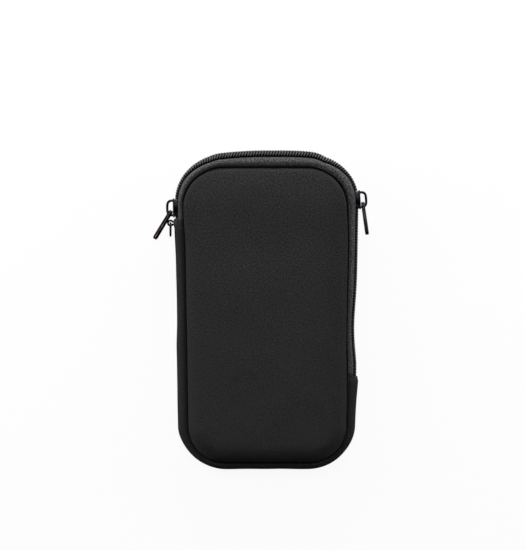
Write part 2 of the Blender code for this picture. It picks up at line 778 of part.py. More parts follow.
def main():
    """Build every piece of the sleeve."""
    clear_scene()
    neoprene = make_material("neoprene", (0.022, 0.022, 0.024), 0.9)
    gusset = make_material("gusset_neoprene", (0.02, 0.02, 0.021), 0.9)
    tape = make_material("zip_tape", (0.03, 0.03, 0.031), 0.85)
    coil = make_material("zip_coil", (0.06, 0.06, 0.062), 0.45)
    binding = make_material("binding", (0.018, 0.018, 0.019), 0.9)
    thread = make_material("thread", (0.05, 0.05, 0.052), 0.7)
    slider = make_material("slider_metal", (0.05, 0.052, 0.06), 0.35, 0.9)
    pull = make_material("pull_metal", (0.045, 0.043, 0.042), 0.28, 0.95)

    make_front_panel(neoprene)
    make_back_panel(neoprene)
    make_gusset(gusset)
    make_bindings(binding)
    make_zip(tape, coil)
    make_bartack("bartack_left", ZIP_START, thread)
    make_bartack("bartack_right", ZIP_END, thread)

    corner = SEAM.runs[LEFT_CORNER][1].to_3d() + UP * MID_HEIGHT
    swing = make_empty("left_corner_axis", Matrix.Translation(corner))
    make_slider("left", LEFT_SLIDER_AT, LEFT_PULL_ANGLE, slider, pull, swing)
    make_slider("right", RIGHT_SLIDER_AT, RIGHT_PULL_ANGLE, slider, pull, None)
    make_strap_loop(tape)
    make_strap_ring(slider)


main()
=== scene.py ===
"""A soft neoprene phone sleeve, partly unzipped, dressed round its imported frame.

The sleeve lies on its back on a pale floor, +Y towards its top and +Z out of its front panel.
Lengths are in metres.
"""

import logging
import math
from bisect import bisect_right
from dataclasses import dataclass
from enum import Enum
from typing import Sequence

import bmesh
import bpy
import numpy as np
from mathutils import Matrix, Vector, geometry, noise


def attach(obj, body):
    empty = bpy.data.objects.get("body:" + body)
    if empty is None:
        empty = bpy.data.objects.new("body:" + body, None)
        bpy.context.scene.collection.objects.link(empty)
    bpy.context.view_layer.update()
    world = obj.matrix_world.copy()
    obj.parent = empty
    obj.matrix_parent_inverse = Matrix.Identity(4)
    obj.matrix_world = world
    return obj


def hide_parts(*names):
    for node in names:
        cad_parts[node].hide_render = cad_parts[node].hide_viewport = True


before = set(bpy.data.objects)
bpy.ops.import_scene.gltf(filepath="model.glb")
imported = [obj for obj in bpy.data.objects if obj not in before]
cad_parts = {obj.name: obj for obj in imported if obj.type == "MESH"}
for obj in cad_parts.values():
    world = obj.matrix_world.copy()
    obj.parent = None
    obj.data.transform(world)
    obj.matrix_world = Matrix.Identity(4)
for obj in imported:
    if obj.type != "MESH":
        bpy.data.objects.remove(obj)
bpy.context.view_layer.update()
LOG = logging.getLogger("sleeve")
Array = np.ndarray
Piece = bpy.types.Object
Node, Socket = bpy.types.Node, bpy.types.NodeSocket
Colour = tuple[float, float, float]
Pair = tuple[float, float]
Sizes = tuple[float, ...]
FABRIC_MAP = "Fabric"
WELD_DISTANCE = 1e-6
BEVEL_STEPS = 4
# A tapered wire's end ring is divided by the first, and the ring before it takes the second.
TIP_DIVISOR, SHOULDER_SHARE = 3, 0.8


class Side(Enum):
    """The two halves of the zip and of the sleeve."""

    FRONT = 1
    BACK = -1

    @property
    def word(self) -> str:
        """The side's name in the names of pieces."""
        return self.name.lower()


class Hand(Enum):
    """The two sides of the sleeve as its front is seen."""

    LEFT = "left"
    RIGHT = "right"


def smooth(share: float) -> float:
    """Ease from 0 to 1 with level ends."""
    share = min(max(share, 0.0), 1.0)
    return share * share * (3 - 2 * share)


def blend(low: float, high: float, share: float) -> float:
    """The value that lies a share of the way from low to high."""
    return low + (high - low) * share


def unit(ways: Array) -> Array:
    """Directions of length 1."""
    return ways / np.linalg.norm(ways, axis=-1)[..., None]


class Route:
    """A closed outline of straight runs and round corners, walked clockwise from below."""

    def __init__(
        self, halves: Sequence[float], ys: Sequence[float], radii: Sequence[float]
    ) -> None:
        """Work out the runs.

        Args:
            halves: Half the width at the top and at the bottom.
            ys: Where the top run and the bottom run lie.
            radii: Radius of the upper and of the lower corners.
        """
        (top_half, low_half), (top_y, low_y), (top_radius, low_radius) = halves, ys, radii
        start = Vector((0, low_y))
        corners = (
            (Vector((-low_half, low_y)), low_radius),
            (Vector((-top_half, top_y)), top_radius),
            (Vector((top_half, top_y)), top_radius),
            (Vector((low_half, low_y)), low_radius),
        )
        after = [corner for corner, _ in corners[1:]] + [start]
        self.runs: list[tuple[str, Vector, Vector, float]] = []
        place = start
        for (corner, radius), following in zip(corners, after):
            inward = (corner - place).normalized()
            onward = (following - corner).normalized()
            turn = inward.angle(onward)
            arc_start = corner - inward * radius * math.tan(turn / 2)
            centre = arc_start + Vector((inward.y, -inward.x)) * radius
            self.runs.append(("line", place, inward, (arc_start - place).length))
            self.runs.append(("arc", centre, arc_start - centre, radius * turn))
            place = corner + onward * radius * math.tan(turn / 2)
        self.runs.append(("line", place, (start - place).normalized(), (start - place).length))
        self.starts = [0.0]
        for run in self.runs:
            self.starts.append(self.starts[-1] + run[3])

    def at(self, distance: float) -> tuple[Vector, Vector]:
        """Find a place on the route.

        Args:
            distance: Length along the route from the bottom centre.

        Returns:
            The point and the outward direction there.
        """
        index = min(max(bisect_right(self.starts, distance) - 1, 0), len(self.runs) - 1)
        kind, origin, direction, _ = self.runs[index]
        along = distance - self.starts[index]
        if kind == "line":
            return origin + direction * along, Vector((-direction.y, direction.x))
        radial = direction.copy()
        radial.rotate(Matrix.Rotation(-along / direction.length, 2))
        return origin + radial, radial.normalized()

    def height_on(self, index: int, y: float) -> float:
        """The distance at which the straight run with this index reaches a height."""
        _, origin, direction, _ = self.runs[index]
        return self.starts[index] + (y - origin.y) / direction.y

    def ring(self, counts: Sequence[int]) -> list[tuple[Vector, Vector]]:
        """Walk round the route.

        Args:
            counts: How many steps each run gets.

        Returns:
            The points, each with its outward direction.
        """
        found = []
        for start, run, count in zip(self.starts, self.runs, counts):
            found += [self.at(start + run[3] * step / count) for step in range(count)]
        return found

    def inward_gap(self, point: Vector, outward: Vector, samples: int = 24) -> float:
        """Measure how far the route is, going straight back inward.

        Args:
            point: A point outside the route.
            outward: The way out from the route.
            samples: How closely each run is searched.

        Returns:
            The distance.
        """
        total = self.starts[-1]
        count = samples * len(self.runs)
        best = math.inf
        for step in range(count):
            first = self.at(total * step / count)[0] - point
            second = self.at(total * (step + 1) / count)[0] - point
            side_one = first.cross(outward)
            side_two = second.cross(outward)
            if side_one * side_two > 0 or side_one == side_two:
                continue
            crossing = first + (second - first) * (side_one / (side_one - side_two))
            gap = -crossing.dot(outward)
            if 0 < gap < best:
                best = gap
        return best


LEFT_SIDE, LEFT_CORNER, TOP_RUN, RIGHT_CORNER, RIGHT_SIDE = range(2, 7)


@dataclass(frozen=True)
class SleeveShape:
    """The seam line, the heights of the panels, and how the soft fabric leans."""

    top_y: float = 0.0732
    bottom_y: float = -0.0788
    top_half: float = 0.0426
    bottom_half: float = 0.0401
    top_radius: float = 0.0205
    bottom_radius: float = 0.019
    least_radius: float = 0.0015
    panel: float = 0.0026
    gap: float = 0.0003
    side_height: float = 0.0124
    mouth_lift: float = 0.0034
    lift_length: float = 0.0482
    crown: float = 0.0048
    crown_inset: float = 0.024
    crown_power: int = 4
    back_lift: float = 0.0006
    back_inset: float = 0.0015
    roll: float = 0.0015
    roll_width: float = 0.0022
    lean: float = 0.0009
    lean_from_y: float = 0.032
    lean_length: float = 0.022
    belly: float = 0.0006
    belly_from_y: float = -0.014
    belly_length: float = 0.03
    waist: float = 0.0011
    waist_y: float = -0.008
    waist_reach: float = 0.0155
    flare: float = 0.0005
    flare_y: float = -0.029
    flare_reach: float = 0.0085

    @property
    def middle(self) -> float:
        """Height of the zip's middle plane."""
        return self.back_lift + self.side_height / 2

    def route(self, inset: float = 0.0) -> Route:
        """Find the seam line, or a line inside it.

        Args:
            inset: How far inside the seam line it lies.

        Returns:
            The route.
        """
        halves = (self.top_half - inset, self.bottom_half - inset)
        sizes = (self.top_radius, self.bottom_radius)
        radii = [max(size - inset, self.least_radius) for size in sizes]
        return Route(halves, (self.top_y - inset, self.bottom_y + inset), radii)

    def seam_height(self, y: float) -> float:
        """Height of the front seam, which the open mouth lifts towards the top."""
        return self.side_height + self.mouth_lift * smooth(1 - (self.top_y - y) / self.lift_length)

    def roll_dip(self, inset: float) -> float:
        """How far a rolled edge dives into the seam at an inset from it."""
        away = min(max(1 - inset / self.roll_width, 0.0), 1.0)
        return self.roll * (1 - math.sqrt(max(1 - away * away, 0.0)))

    def front_height(self, inset: float, y: float) -> float:
        """Height of the front panel's outer face, without its rolled edge."""
        level = 1 - (1 - min(inset / self.crown_inset, 1)) ** self.crown_power
        return blend(self.seam_height(y), self.side_height + self.crown, level)

    def leaned(self, points: Array, share: float | Array = 1.0) -> Array:
        """Give the outline its soft unevenness.

        The seam leans left near the top and out at the lower right; the outer edge has a waist on
        the right, with a small flare below it.

        Args:
            points: Points in rows of three coordinates.
            share: 1 for points that go with the seam, 0 for points at the outer edge.

        Returns:
            The moved points.
        """
        moved = np.array(points, float)
        x, y = moved[..., 0], moved[..., 1]
        rise = np.clip((y - self.lean_from_y) / self.lean_length, 0, 1)
        fall = np.clip((self.belly_from_y - y) / self.belly_length, 0, 1)
        side = np.clip(x / self.bottom_half, 0, 1) ** 2
        lean = self.lean * rise * rise * (3 - 2 * rise) * share
        belly = self.belly * fall * fall * (3 - 2 * fall) * side * share
        waist = self.waist * np.exp(-(((y - self.waist_y) / self.waist_reach) ** 2))
        waist = waist - self.flare * np.exp(-(((y - self.flare_y) / self.flare_reach) ** 2))
        moved[..., 0] = x - lean + belly - waist * side * (1 - share)
        return moved


SHAPE = SleeveShape()


class MeshDraft:
    """Vertices, faces and fabric coordinates gathered before they become one mesh."""

    def __init__(self) -> None:
        """Start with nothing."""
        self.points: list[Array] = []
        self.faces: list[list[int]] = []
        self.places: list[Array] = []
        self.count = 0

    def _keep(self, points: Array) -> int:
        """Keep points.

        Args:
            points: The points.

        Returns:
            The index of the first of them.
        """
        first = self.count
        self.points.append(points.reshape(-1, 3))
        self.count += len(self.points[-1])
        return first

    def grid(
        self, rows: Array, close_rows: bool = False, close_columns: bool = False,
        caps: bool = False, flat_map: bool = False,
    ) -> None:
        """Skin a grid of points.

        Args:
            rows: Points in rows and columns.
            close_rows: Whether the last row joins the first.
            close_columns: Whether each row is a closed ring.
            caps: Whether the first and last rows are filled.
            flat_map: Whether the fabric coordinates are plain X and Y.
        """
        count, width = rows.shape[:2]
        first = self._keep(rows)
        full = np.concatenate([rows, rows[:1]], 0) if close_rows else rows
        full = np.concatenate([full, full[:, :1]], 1) if close_columns else full
        lengths = np.linalg.norm(np.diff(full, axis=0), axis=2).mean(1)
        widths = np.linalg.norm(np.diff(full, axis=1), axis=2).mean(0)
        u = np.concatenate([[0], np.cumsum(lengths)])
        v = np.concatenate([[0], np.cumsum(widths)])
        if flat_map:
            spots = full[..., :2]
        else:
            spots = np.stack(np.meshgrid(u, v, indexing="ij"), -1)
        r, c = np.meshgrid(np.arange(len(full) - 1), np.arange(full.shape[1] - 1), indexing="ij")
        r, c = r.ravel(), c.ravel()
        down, right = (r + 1) % count, (c + 1) % width
        near, far = r * width, down * width
        quads = np.stack([near + c, near + right, far + right, far + c], 1)
        self.faces += (quads + first).tolist()
        corners = np.stack([spots[r, c], spots[r, c + 1], spots[r + 1, c + 1], spots[r + 1, c]], 1)
        self.places.append(corners.reshape(-1, 2))
        if caps:
            for row, turn in ((0, -1), (count - 1, 1)):
                ring = rows[row]
                spots = np.stack([ring[:, 0] + ring[:, 1], ring[:, 2]], 1)
                for tri in geometry.tessellate_polygon([[Vector(p) for p in ring]]):
                    order = list(tri)[::turn]
                    self.faces.append([first + row * width + spot for spot in order])
                    self.places.append(spots[order])

    def patch(self, points: Array, faces: Array) -> None:
        """Take a ready mesh whose fabric coordinates are its X and Y.

        Args:
            points: Its points.
            faces: Its faces of four points each.
        """
        first = self._keep(points)
        self.faces += (faces + first).tolist()
        self.places.append(points[faces][..., :2].reshape(-1, 2))

    def tube(
        self, path: Array, radius: float | Array, sides: int = 8,
        up: Sequence[float] | Array = (0, 0, 1), flatten: float = 1.0,
        tapered: bool = False, closed: bool = False,
    ) -> None:
        """Sweep a round or oval wire along a path.

        Args:
            path: The points of the wire's centre line.
            radius: Half its thickness across the up direction.
            sides: How many sides the wire has.
            up: A direction that isn't along the path.
            flatten: Its thickness along up as a share of that across it.
            tapered: Whether both ends are rounded off.
            closed: Whether the path is a ring.
        """
        ahead = np.roll(path, -1, 0) - np.roll(path, 1, 0)
        if not closed:
            ahead[0], ahead[-1] = path[1] - path[0], path[-1] - path[-2]
        ahead = unit(ahead)
        across = unit(np.cross(ahead, np.array(up, float)))
        above = np.cross(across, ahead)
        sizes = np.ones(len(path)) * radius
        if tapered:
            sizes[[0, -1]] /= TIP_DIVISOR
            sizes[[1, -2]] *= SHOULDER_SHARE
        turn = np.arange(sides) * math.tau / sides
        ring = across[:, None] * np.cos(turn)[None, :, None]
        ring = ring + above[:, None] * np.sin(turn)[None, :, None] * flatten
        rows = path[:, None] + ring * sizes[:, None, None]
        self.grid(rows, close_rows=closed, close_columns=True, caps=not closed)

    def plate(self, loops: Sequence[Array], thickness: float, bevel: float) -> None:
        """Make a flat plate with holes and rounded edges.

        Args:
            loops: The outline, counter-clockwise, then each hole, clockwise.
            thickness: The plate's thickness along Z.
            bevel: Radius of the rounding at both faces.
        """
        caps: list[Array] = []
        steps = [math.pi / 2 * step / BEVEL_STEPS for step in range(BEVEL_STEPS + 1)]
        for loop in loops:
            ahead = unit(np.roll(loop, -1, 0) - np.roll(loop, 1, 0))
            outward = np.stack([ahead[:, 1], -ahead[:, 0]], 1)
            rows = []
            for side in (-1, 1):
                for angle in steps[::-1] if side < 0 else steps:
                    flat = loop - outward * bevel * (1 - math.cos(angle))
                    level = side * (thickness / 2 - bevel + bevel * math.sin(angle))
                    rows.append(np.concatenate([flat, np.full((len(flat), 1), level)], 1))
            self.grid(np.array(rows), close_columns=True)
            caps.append(self.count - len(rows) * len(loop))
        for side in (0, 1):
            rings, index = [], []
            for loop, first in zip(loops, caps):
                start = first + side * (2 * len(steps) - 1) * len(loop)
                points = np.concatenate(self.points, 0)[start : start + len(loop)]
                rings.append([Vector(p) for p in points])
                index += list(range(start, start + len(loop)))
            flat = [p for ring in rings for p in ring]
            for tri in geometry.tessellate_polygon(rings):
                a, b, c = (flat[spot] for spot in tri)
                up = (b - a).cross(c - a).z > 0
                order = tri if up == bool(side) else tri[::-1]
                self.faces.append([index[spot] for spot in order])
                self.places.append(np.array([flat[spot].xy for spot in order]))

    def absorb(self, other: "MeshDraft") -> None:
        """Take in everything that another draft has.

        Args:
            other: The other draft.
        """
        self.faces += [[spot + self.count for spot in face] for face in other.faces]
        self.places += other.places
        self.points += other.points
        self.count += other.count

    def place(self, matrix: Matrix) -> None:
        """Move everything gathered so far by a matrix."""
        turn, shift = np.array(matrix)[:3, :3], np.array(matrix)[:3, 3]
        self.points = [points @ turn.T + shift for points in self.points]

    def make(self, name: str, finish: "Finish", weld: bool = False) -> Piece:
        """Turn the draft into an object with its material.

        Args:
            name: The piece's name.
            finish: What the piece is made of.
            weld: Whether points that fall together are merged.

        Returns:
            The new object, smooth shaded.
        """
        mesh = bpy.data.meshes.new(name)
        mesh.from_pydata(np.concatenate(self.points, 0).tolist(), [], self.faces)
        layer = mesh.uv_layers.new(name=FABRIC_MAP)
        spots = np.concatenate(self.places, 0)
        layer.data.foreach_set("uv", spots.astype(np.float32).ravel())
        if weld:
            shape = bmesh.new()
            shape.from_mesh(mesh)
            bmesh.ops.remove_doubles(shape, verts=shape.verts[:], dist=WELD_DISTANCE)
            bmesh.ops.recalc_face_normals(shape, faces=shape.faces[:])
            shape.to_mesh(mesh)
            shape.free()
        mesh.shade_smooth()
        item = bpy.data.objects.new(name, mesh)
        bpy.context.scene.collection.objects.link(item)
        mesh.materials.append(finish.material())
        LOG.info("%s: %d faces", name, len(mesh.polygons))
        return item

    def piece(
        self, name: str, finish: "Finish", body: str = "sleeve", nodes: Sequence[str] = (),
        weld: bool = False,
    ) -> Piece:
        """Turn the draft into a piece of the sleeve.

        Args:
            name: The piece's name.
            finish: What it is made of.
            body: The body it moves with.
            nodes: The solids it stands for.
            weld: Whether points that fall together are merged.

        Returns:
            The new piece.
        """
        item = self.make(name, finish, weld)
        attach(item, body)
        if nodes:
            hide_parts(*nodes)
        return item


MIX_INPUTS, MIX_OUTPUT = (0, 6, 7), 2  # the colour sockets of a Mix node


class NodeSheet:
    """A node tree, with short ways to add nodes and join them."""

    def __init__(self, tree: bpy.types.NodeTree) -> None:
        """Keep the tree."""
        self.tree = tree

    def add(self, kind: str, **settings: object) -> Node:
        """Add a node.

        Args:
            kind: The node's type.
            settings: Its own options.

        Returns:
            The node.
        """
        node = self.tree.nodes.new(kind)
        for name, value in settings.items():
            setattr(node, name, value)
        return node

    def feed(self, socket: Socket, value: object) -> None:
        """Fill an input.

        Args:
            socket: The input.
            value: An output to join to it, or a plain value.
        """
        if isinstance(value, Socket):
            self.tree.links.new(value, socket)
        else:
            socket.default_value = value

    def fill(self, node: Node, values: dict[str, object]) -> None:
        """Fill several inputs of a node by their names."""
        for name, value in values.items():
            self.feed(node.inputs[name], value)

    def math(self, operation: str, *values: object) -> Socket:
        """Add a Math node.

        Args:
            operation: What the node works out.
            values: Its inputs.

        Returns:
            Its result's socket.
        """
        node = self.add("ShaderNodeMath", operation=operation)
        for socket, value in zip(node.inputs, values):
            self.feed(socket, value)
        return node.outputs[0]

    def spread(
        self, value: object, low: float, high: float, to_low: float, to_high: float
    ) -> Socket:
        """Map a value from one range to another, held at both ends.

        Args:
            value: The value or socket to map.
            low: Low end of its range.
            high: Its high end.
            to_low: What the low end becomes.
            to_high: What the high end becomes.

        Returns:
            The mapped value's socket.
        """
        node = self.add("ShaderNodeMapRange", clamp=True)
        for socket, given in zip(node.inputs, (value, low, high, to_low, to_high)):
            self.feed(socket, given)
        return node.outputs[0]

    def mix(self, share: object, first: object, second: object) -> Socket:
        """Mix two colours.

        Args:
            share: How much of the second colour there is.
            first: The first colour.
            second: The second colour.

        Returns:
            The mixed colour's socket.
        """
        node = self.add("ShaderNodeMix", data_type="RGBA", clamp_factor=True)
        for socket, value in zip(MIX_INPUTS, (share, first, second)):
            self.feed(node.inputs[socket], value)
        return node.outputs[MIX_OUTPUT]

    def noise(self, place: object, scale: float, detail: float = 2.0, rough: float = 0.5) -> Socket:
        """Add a noise texture.

        Args:
            place: Where on the piece it is read.
            scale: Lumps in a metre.
            detail: How many finer layers it has.
            rough: How strong they are.

        Returns:
            Its value's socket.
        """
        node = self.add("ShaderNodeTexNoise")
        given = {"Vector": place, "Scale": scale, "Detail": detail, "Roughness": rough}
        self.fill(node, given)
        return node.outputs[0]

    def stretched(self, place: object, sizes: Sequence[float], turn: float = 0.0) -> Socket:
        """Scale and turn coordinates for a grain that runs one way.

        Args:
            place: The coordinates.
            sizes: Their scale along each axis.
            turn: How far they turn, in radians.

        Returns:
            The new coordinates' socket.
        """
        node = self.add("ShaderNodeMapping")
        given = {"Vector": place, "Rotation": (0, 0, turn), "Scale": tuple(sizes)}
        self.fill(node, given)
        return node.outputs[0]

    def group(self, shared: bpy.types.NodeTree, **values: object) -> Node:
        """Place a shared group.

        Args:
            shared: The group.
            values: Its inputs.

        Returns:
            The group's node.
        """
        node = self.add("ShaderNodeGroup", node_tree=shared)
        self.fill(node, values)
        return node

    def tinted(self, colour: Colour, shade: Socket) -> Socket:
        """Make a colour lighter or darker.

        Args:
            colour: The colour.
            shade: What it is multiplied by.

        Returns:
            The new colour's socket.
        """
        node = self.add("ShaderNodeVectorMath", operation="SCALE")
        self.feed(node.inputs[0], colour)
        self.feed(node.inputs["Scale"], shade)
        return node.outputs[0]

    def raise_surface(
        self, surface: Node, strength: float, depth: float, height: Socket
    ) -> None:
        """Give a shader a raised pattern.

        Args:
            surface: The shader.
            strength: How much of the pattern shows, from 0 to 1.
            depth: How deep the pattern is.
            height: The pattern.
        """
        node = self.add("ShaderNodeBump")
        self.fill(node, {"Strength": strength, "Distance": depth, "Height": height})
        self.feed(surface.inputs["Normal"], node.outputs[0])


FLOAT, VECTOR = "NodeSocketFloat", "NodeSocketVector"
Inputs = tuple[tuple[str, str, object], ...]


@dataclass(frozen=True)
class Pattern:
    """A shader node group that several materials share, built once from its named values."""

    title: str
    inputs: Inputs
    outputs: tuple[str, ...]

    def tree(self) -> bpy.types.NodeTree:
        """Build the group at its first use.

        Returns:
            The group's node tree.
        """
        if self.title in bpy.data.node_groups:
            return bpy.data.node_groups[self.title]
        tree = bpy.data.node_groups.new(self.title, "ShaderNodeTree")
        for label, kind, default in self.inputs:
            socket = tree.interface.new_socket(label, in_out="INPUT", socket_type=kind)
            if default is not None:
                socket.default_value = default
        for label in self.outputs:
            tree.interface.new_socket(label, in_out="OUTPUT", socket_type=FLOAT)
        sheet = NodeSheet(tree)
        self.fill(sheet, sheet.add("NodeGroupInput"), sheet.add("NodeGroupOutput"))
        return tree

    def fill(self, sheet: NodeSheet, given: Node, made: Node) -> None:
        """Add the nodes between the group's input and output; each pattern has its own."""
        raise NotImplementedError(self.title)


@dataclass(frozen=True)
class Threads(Pattern):
    """What knitted and woven patterns share: threads that are counted both ways."""

    outputs: tuple[str, ...] = ("Height",)
    wander_scale: float = 900.0
    wander_detail: float = 1.0

    def counted(self, sheet: NodeSheet, given: Node) -> tuple[Socket, Socket]:
        """Count the threads, which loose fibres make wander.

        Args:
            sheet: The group's nodes.
            given: The group's input.

        Returns:
            The counts across and along.
        """
        place, size, fuzz = given.outputs[0], given.outputs[1], given.outputs[2]
        wander = sheet.noise(place, self.wander_scale, self.wander_detail)
        wander = sheet.math("MULTIPLY", sheet.math("SUBTRACT", wander, 0.5), fuzz)
        split = sheet.add("ShaderNodeSeparateXYZ")
        sheet.feed(split.inputs[0], place)
        across, along = (
            sheet.math("ADD", sheet.math("DIVIDE", split.outputs[axis], size), wander)
            for axis in (0, 1)
        )
        return across, along

    def ridge(self, sheet: NodeSheet, count: Socket) -> Socket:
        """The rounded height of each thread in a count of them."""
        wave = sheet.math("SINE", sheet.math("MULTIPLY", count, math.pi))
        return sheet.math("ABSOLUTE", wave)


@dataclass(frozen=True)
class Knit(Threads):
    """Fine knitted columns of slanted stitches, softened by loose fibres."""

    title: str = "KnitStitches"
    inputs: Inputs = (
        ("Place", VECTOR, None), ("Size", FLOAT, 0.0007), ("Fuzz", FLOAT, 0.5)
    )
    stitch_rate: float = 1.3
    stitch_floor: float = 0.35
    roundness: float = 0.6

    def fill(self, sheet: NodeSheet, given: Node, made: Node) -> None:
        """Add the knit's nodes.

        Args:
            sheet: The group's nodes.
            given: Its input.
            made: Its output, with the height.
        """
        across, along = self.counted(sheet, given)
        column = self.ridge(sheet, across)
        lean = sheet.math("PINGPONG", across, 0.5)
        stitch = sheet.math("ADD", sheet.math("MULTIPLY", along, self.stitch_rate), lean)
        stitch = sheet.math("SINE", sheet.math("MULTIPLY", stitch, math.tau))
        stitch = sheet.spread(stitch, -1.0, 1.0, self.stitch_floor, 1.0)
        height = sheet.math("MULTIPLY", sheet.math("POWER", column, self.roundness), stitch)
        sheet.feed(made.inputs[0], height)


@dataclass(frozen=True)
class Weave(Threads):
    """Plain weave of threads that pass over and under one another."""

    title: str = "PlainWeave"
    inputs: Inputs = (
        ("Place", VECTOR, None), ("Size", FLOAT, 0.0004), ("Fuzz", FLOAT, 0.3)
    )
    wander_scale: float = 1300.0
    under: float = 0.55

    def fill(self, sheet: NodeSheet, given: Node, made: Node) -> None:
        """Add the weave's nodes.

        Args:
            sheet: The group's nodes.
            given: Its input.
            made: Its output, with the height.
        """
        across, along = self.counted(sheet, given)
        warp, weft = self.ridge(sheet, across), self.ridge(sheet, along)
        parity = sheet.math("ADD", sheet.math("FLOOR", across), sheet.math("FLOOR", along))
        over = sheet.math("FLOORED_MODULO", parity, 2.0)
        height = sheet.math("MULTIPLY", warp, sheet.spread(over, 0, 1, self.under, 1.0))
        other = sheet.math("MULTIPLY", weft, sheet.spread(over, 0, 1, 1.0, self.under))
        sheet.feed(made.inputs[0], sheet.math("MAXIMUM", height, other))


@dataclass(frozen=True)
class Heather(Pattern):
    """Lighter and darker fibres, from single threads up to soft clouds."""

    title: str = "HeatherFibres"
    inputs: Inputs = (
        ("Place", VECTOR, None), ("Grain", FLOAT, 0.5), ("Cloud", FLOAT, 0.3)
    )
    outputs: tuple[str, ...] = ("Shade", "Lint")
    fine_scale: float = 1500.0
    roughness: float = 0.6
    slant_sizes: Sizes = (1500.0, 1250.0, 1.0)
    slant_turn: float = 0.9
    cloud_scale: float = 90.0
    cloud_detail: float = 3.0
    least: float = 0.05
    lint: Pair = (0.62, 0.78)

    def fill(self, sheet: NodeSheet, given: Node, made: Node) -> None:
        """Add the fibres' nodes.

        Args:
            sheet: The group's nodes.
            given: Its input.
            made: Its output, with the shade and the lint.
        """
        place, grain, cloud = given.outputs[0], given.outputs[1], given.outputs[2]
        fine = sheet.noise(place, self.fine_scale, 2.0, self.roughness)
        slant = sheet.stretched(place, self.slant_sizes, self.slant_turn)
        fine_part = sheet.math("SUBTRACT", fine, 0.5)
        slant_part = sheet.math("SUBTRACT", sheet.noise(slant, 1.0, 1.0), 0.5)
        clouds = sheet.noise(place, self.cloud_scale, self.cloud_detail, self.roughness)
        clouds = sheet.math("SUBTRACT", clouds, 0.5)
        total = sheet.math("MULTIPLY", sheet.math("ADD", fine_part, slant_part), grain)
        fleck = sheet.math("MAXIMUM", total, 0.0)
        total = sheet.math("MULTIPLY_ADD", fleck, fleck, total)
        total = sheet.math("ADD", total, sheet.math("MULTIPLY", clouds, cloud))
        total = sheet.math("MAXIMUM", sheet.math("ADD", total, 1.0), self.least)
        sheet.feed(made.inputs[0], total)
        sheet.feed(made.inputs[1], sheet.spread(fine, *self.lint, 0.0, 1.0))


@dataclass(frozen=True)
class Wear(Pattern):
    """Rubbed edges and fine handling marks on hard parts."""

    title: str = "HandlingWear"
    inputs: Inputs = (("Strength", FLOAT, 1.0),)
    outputs: tuple[str, ...] = ("Rubbed", "Marks")
    edge: Pair = (0.52, 0.6)
    patch_scale: float = 900.0
    patch_detail: float = 4.0
    patch_roughness: float = 0.65
    patch_spread: Sizes = (0.35, 0.6, 0.2, 1.0)
    mark_sizes: Sizes = (2600.0, 420.0, 2600.0)
    mark_turn: float = 0.3
    mark_detail: float = 3.0
    mark_roughness: float = 0.7

    def fill(self, sheet: NodeSheet, given: Node, made: Node) -> None:
        """Add the wear's nodes.

        Args:
            sheet: The group's nodes.
            given: Its input.
            made: Its output, with the rubbed edges and the marks.
        """
        shape = sheet.add("ShaderNodeNewGeometry")
        place = sheet.add("ShaderNodeTexCoord").outputs["Object"]
        rubbed = sheet.spread(shape.outputs["Pointiness"], *self.edge, 0.0, 1.0)
        patchy = sheet.noise(place, self.patch_scale, self.patch_detail, self.patch_roughness)
        rubbed = sheet.math("MULTIPLY", rubbed, sheet.spread(patchy, *self.patch_spread))
        sheet.feed(made.inputs[0], sheet.math("MULTIPLY", rubbed, given.outputs[0]))
        grain = sheet.stretched(place, self.mark_sizes, self.mark_turn)
        sheet.feed(made.inputs[1], sheet.noise(grain, 1.0, self.mark_detail, self.mark_roughness))


KNIT, WEAVE, HEATHER, WEAR = Knit(), Weave(), Heather(), Wear()


def rgba(colour: Colour) -> tuple[float, float, float, float]:
    """A colour with full cover."""
    return (*colour, 1.0)


@dataclass(frozen=True)
class Finish:
    """What a piece is made of; each kind builds its material once."""

    name: str
    slot: str
    colour: Colour

    def material(self) -> bpy.types.Material:
        """Build the finish's material at its first use.

        Returns:
            The material.
        """
        if self.name in bpy.data.materials:
            return bpy.data.materials[self.name]
        made = bpy.data.materials.new(self.name)
        made.use_nodes = True
        made.node_tree.nodes.clear()
        sheet = NodeSheet(made.node_tree)
        surface = sheet.add("ShaderNodeBsdfPrincipled")
        output = sheet.add("ShaderNodeOutputMaterial")
        sheet.feed(output.inputs[0], surface.outputs[0])
        self.dress(sheet, surface)
        return made

    def dress(self, sheet: NodeSheet, surface: Node) -> None:
        """Set up the shader; each kind of finish has its own."""
        sheet.feed(surface.inputs["Base Color"], rgba(self.colour))


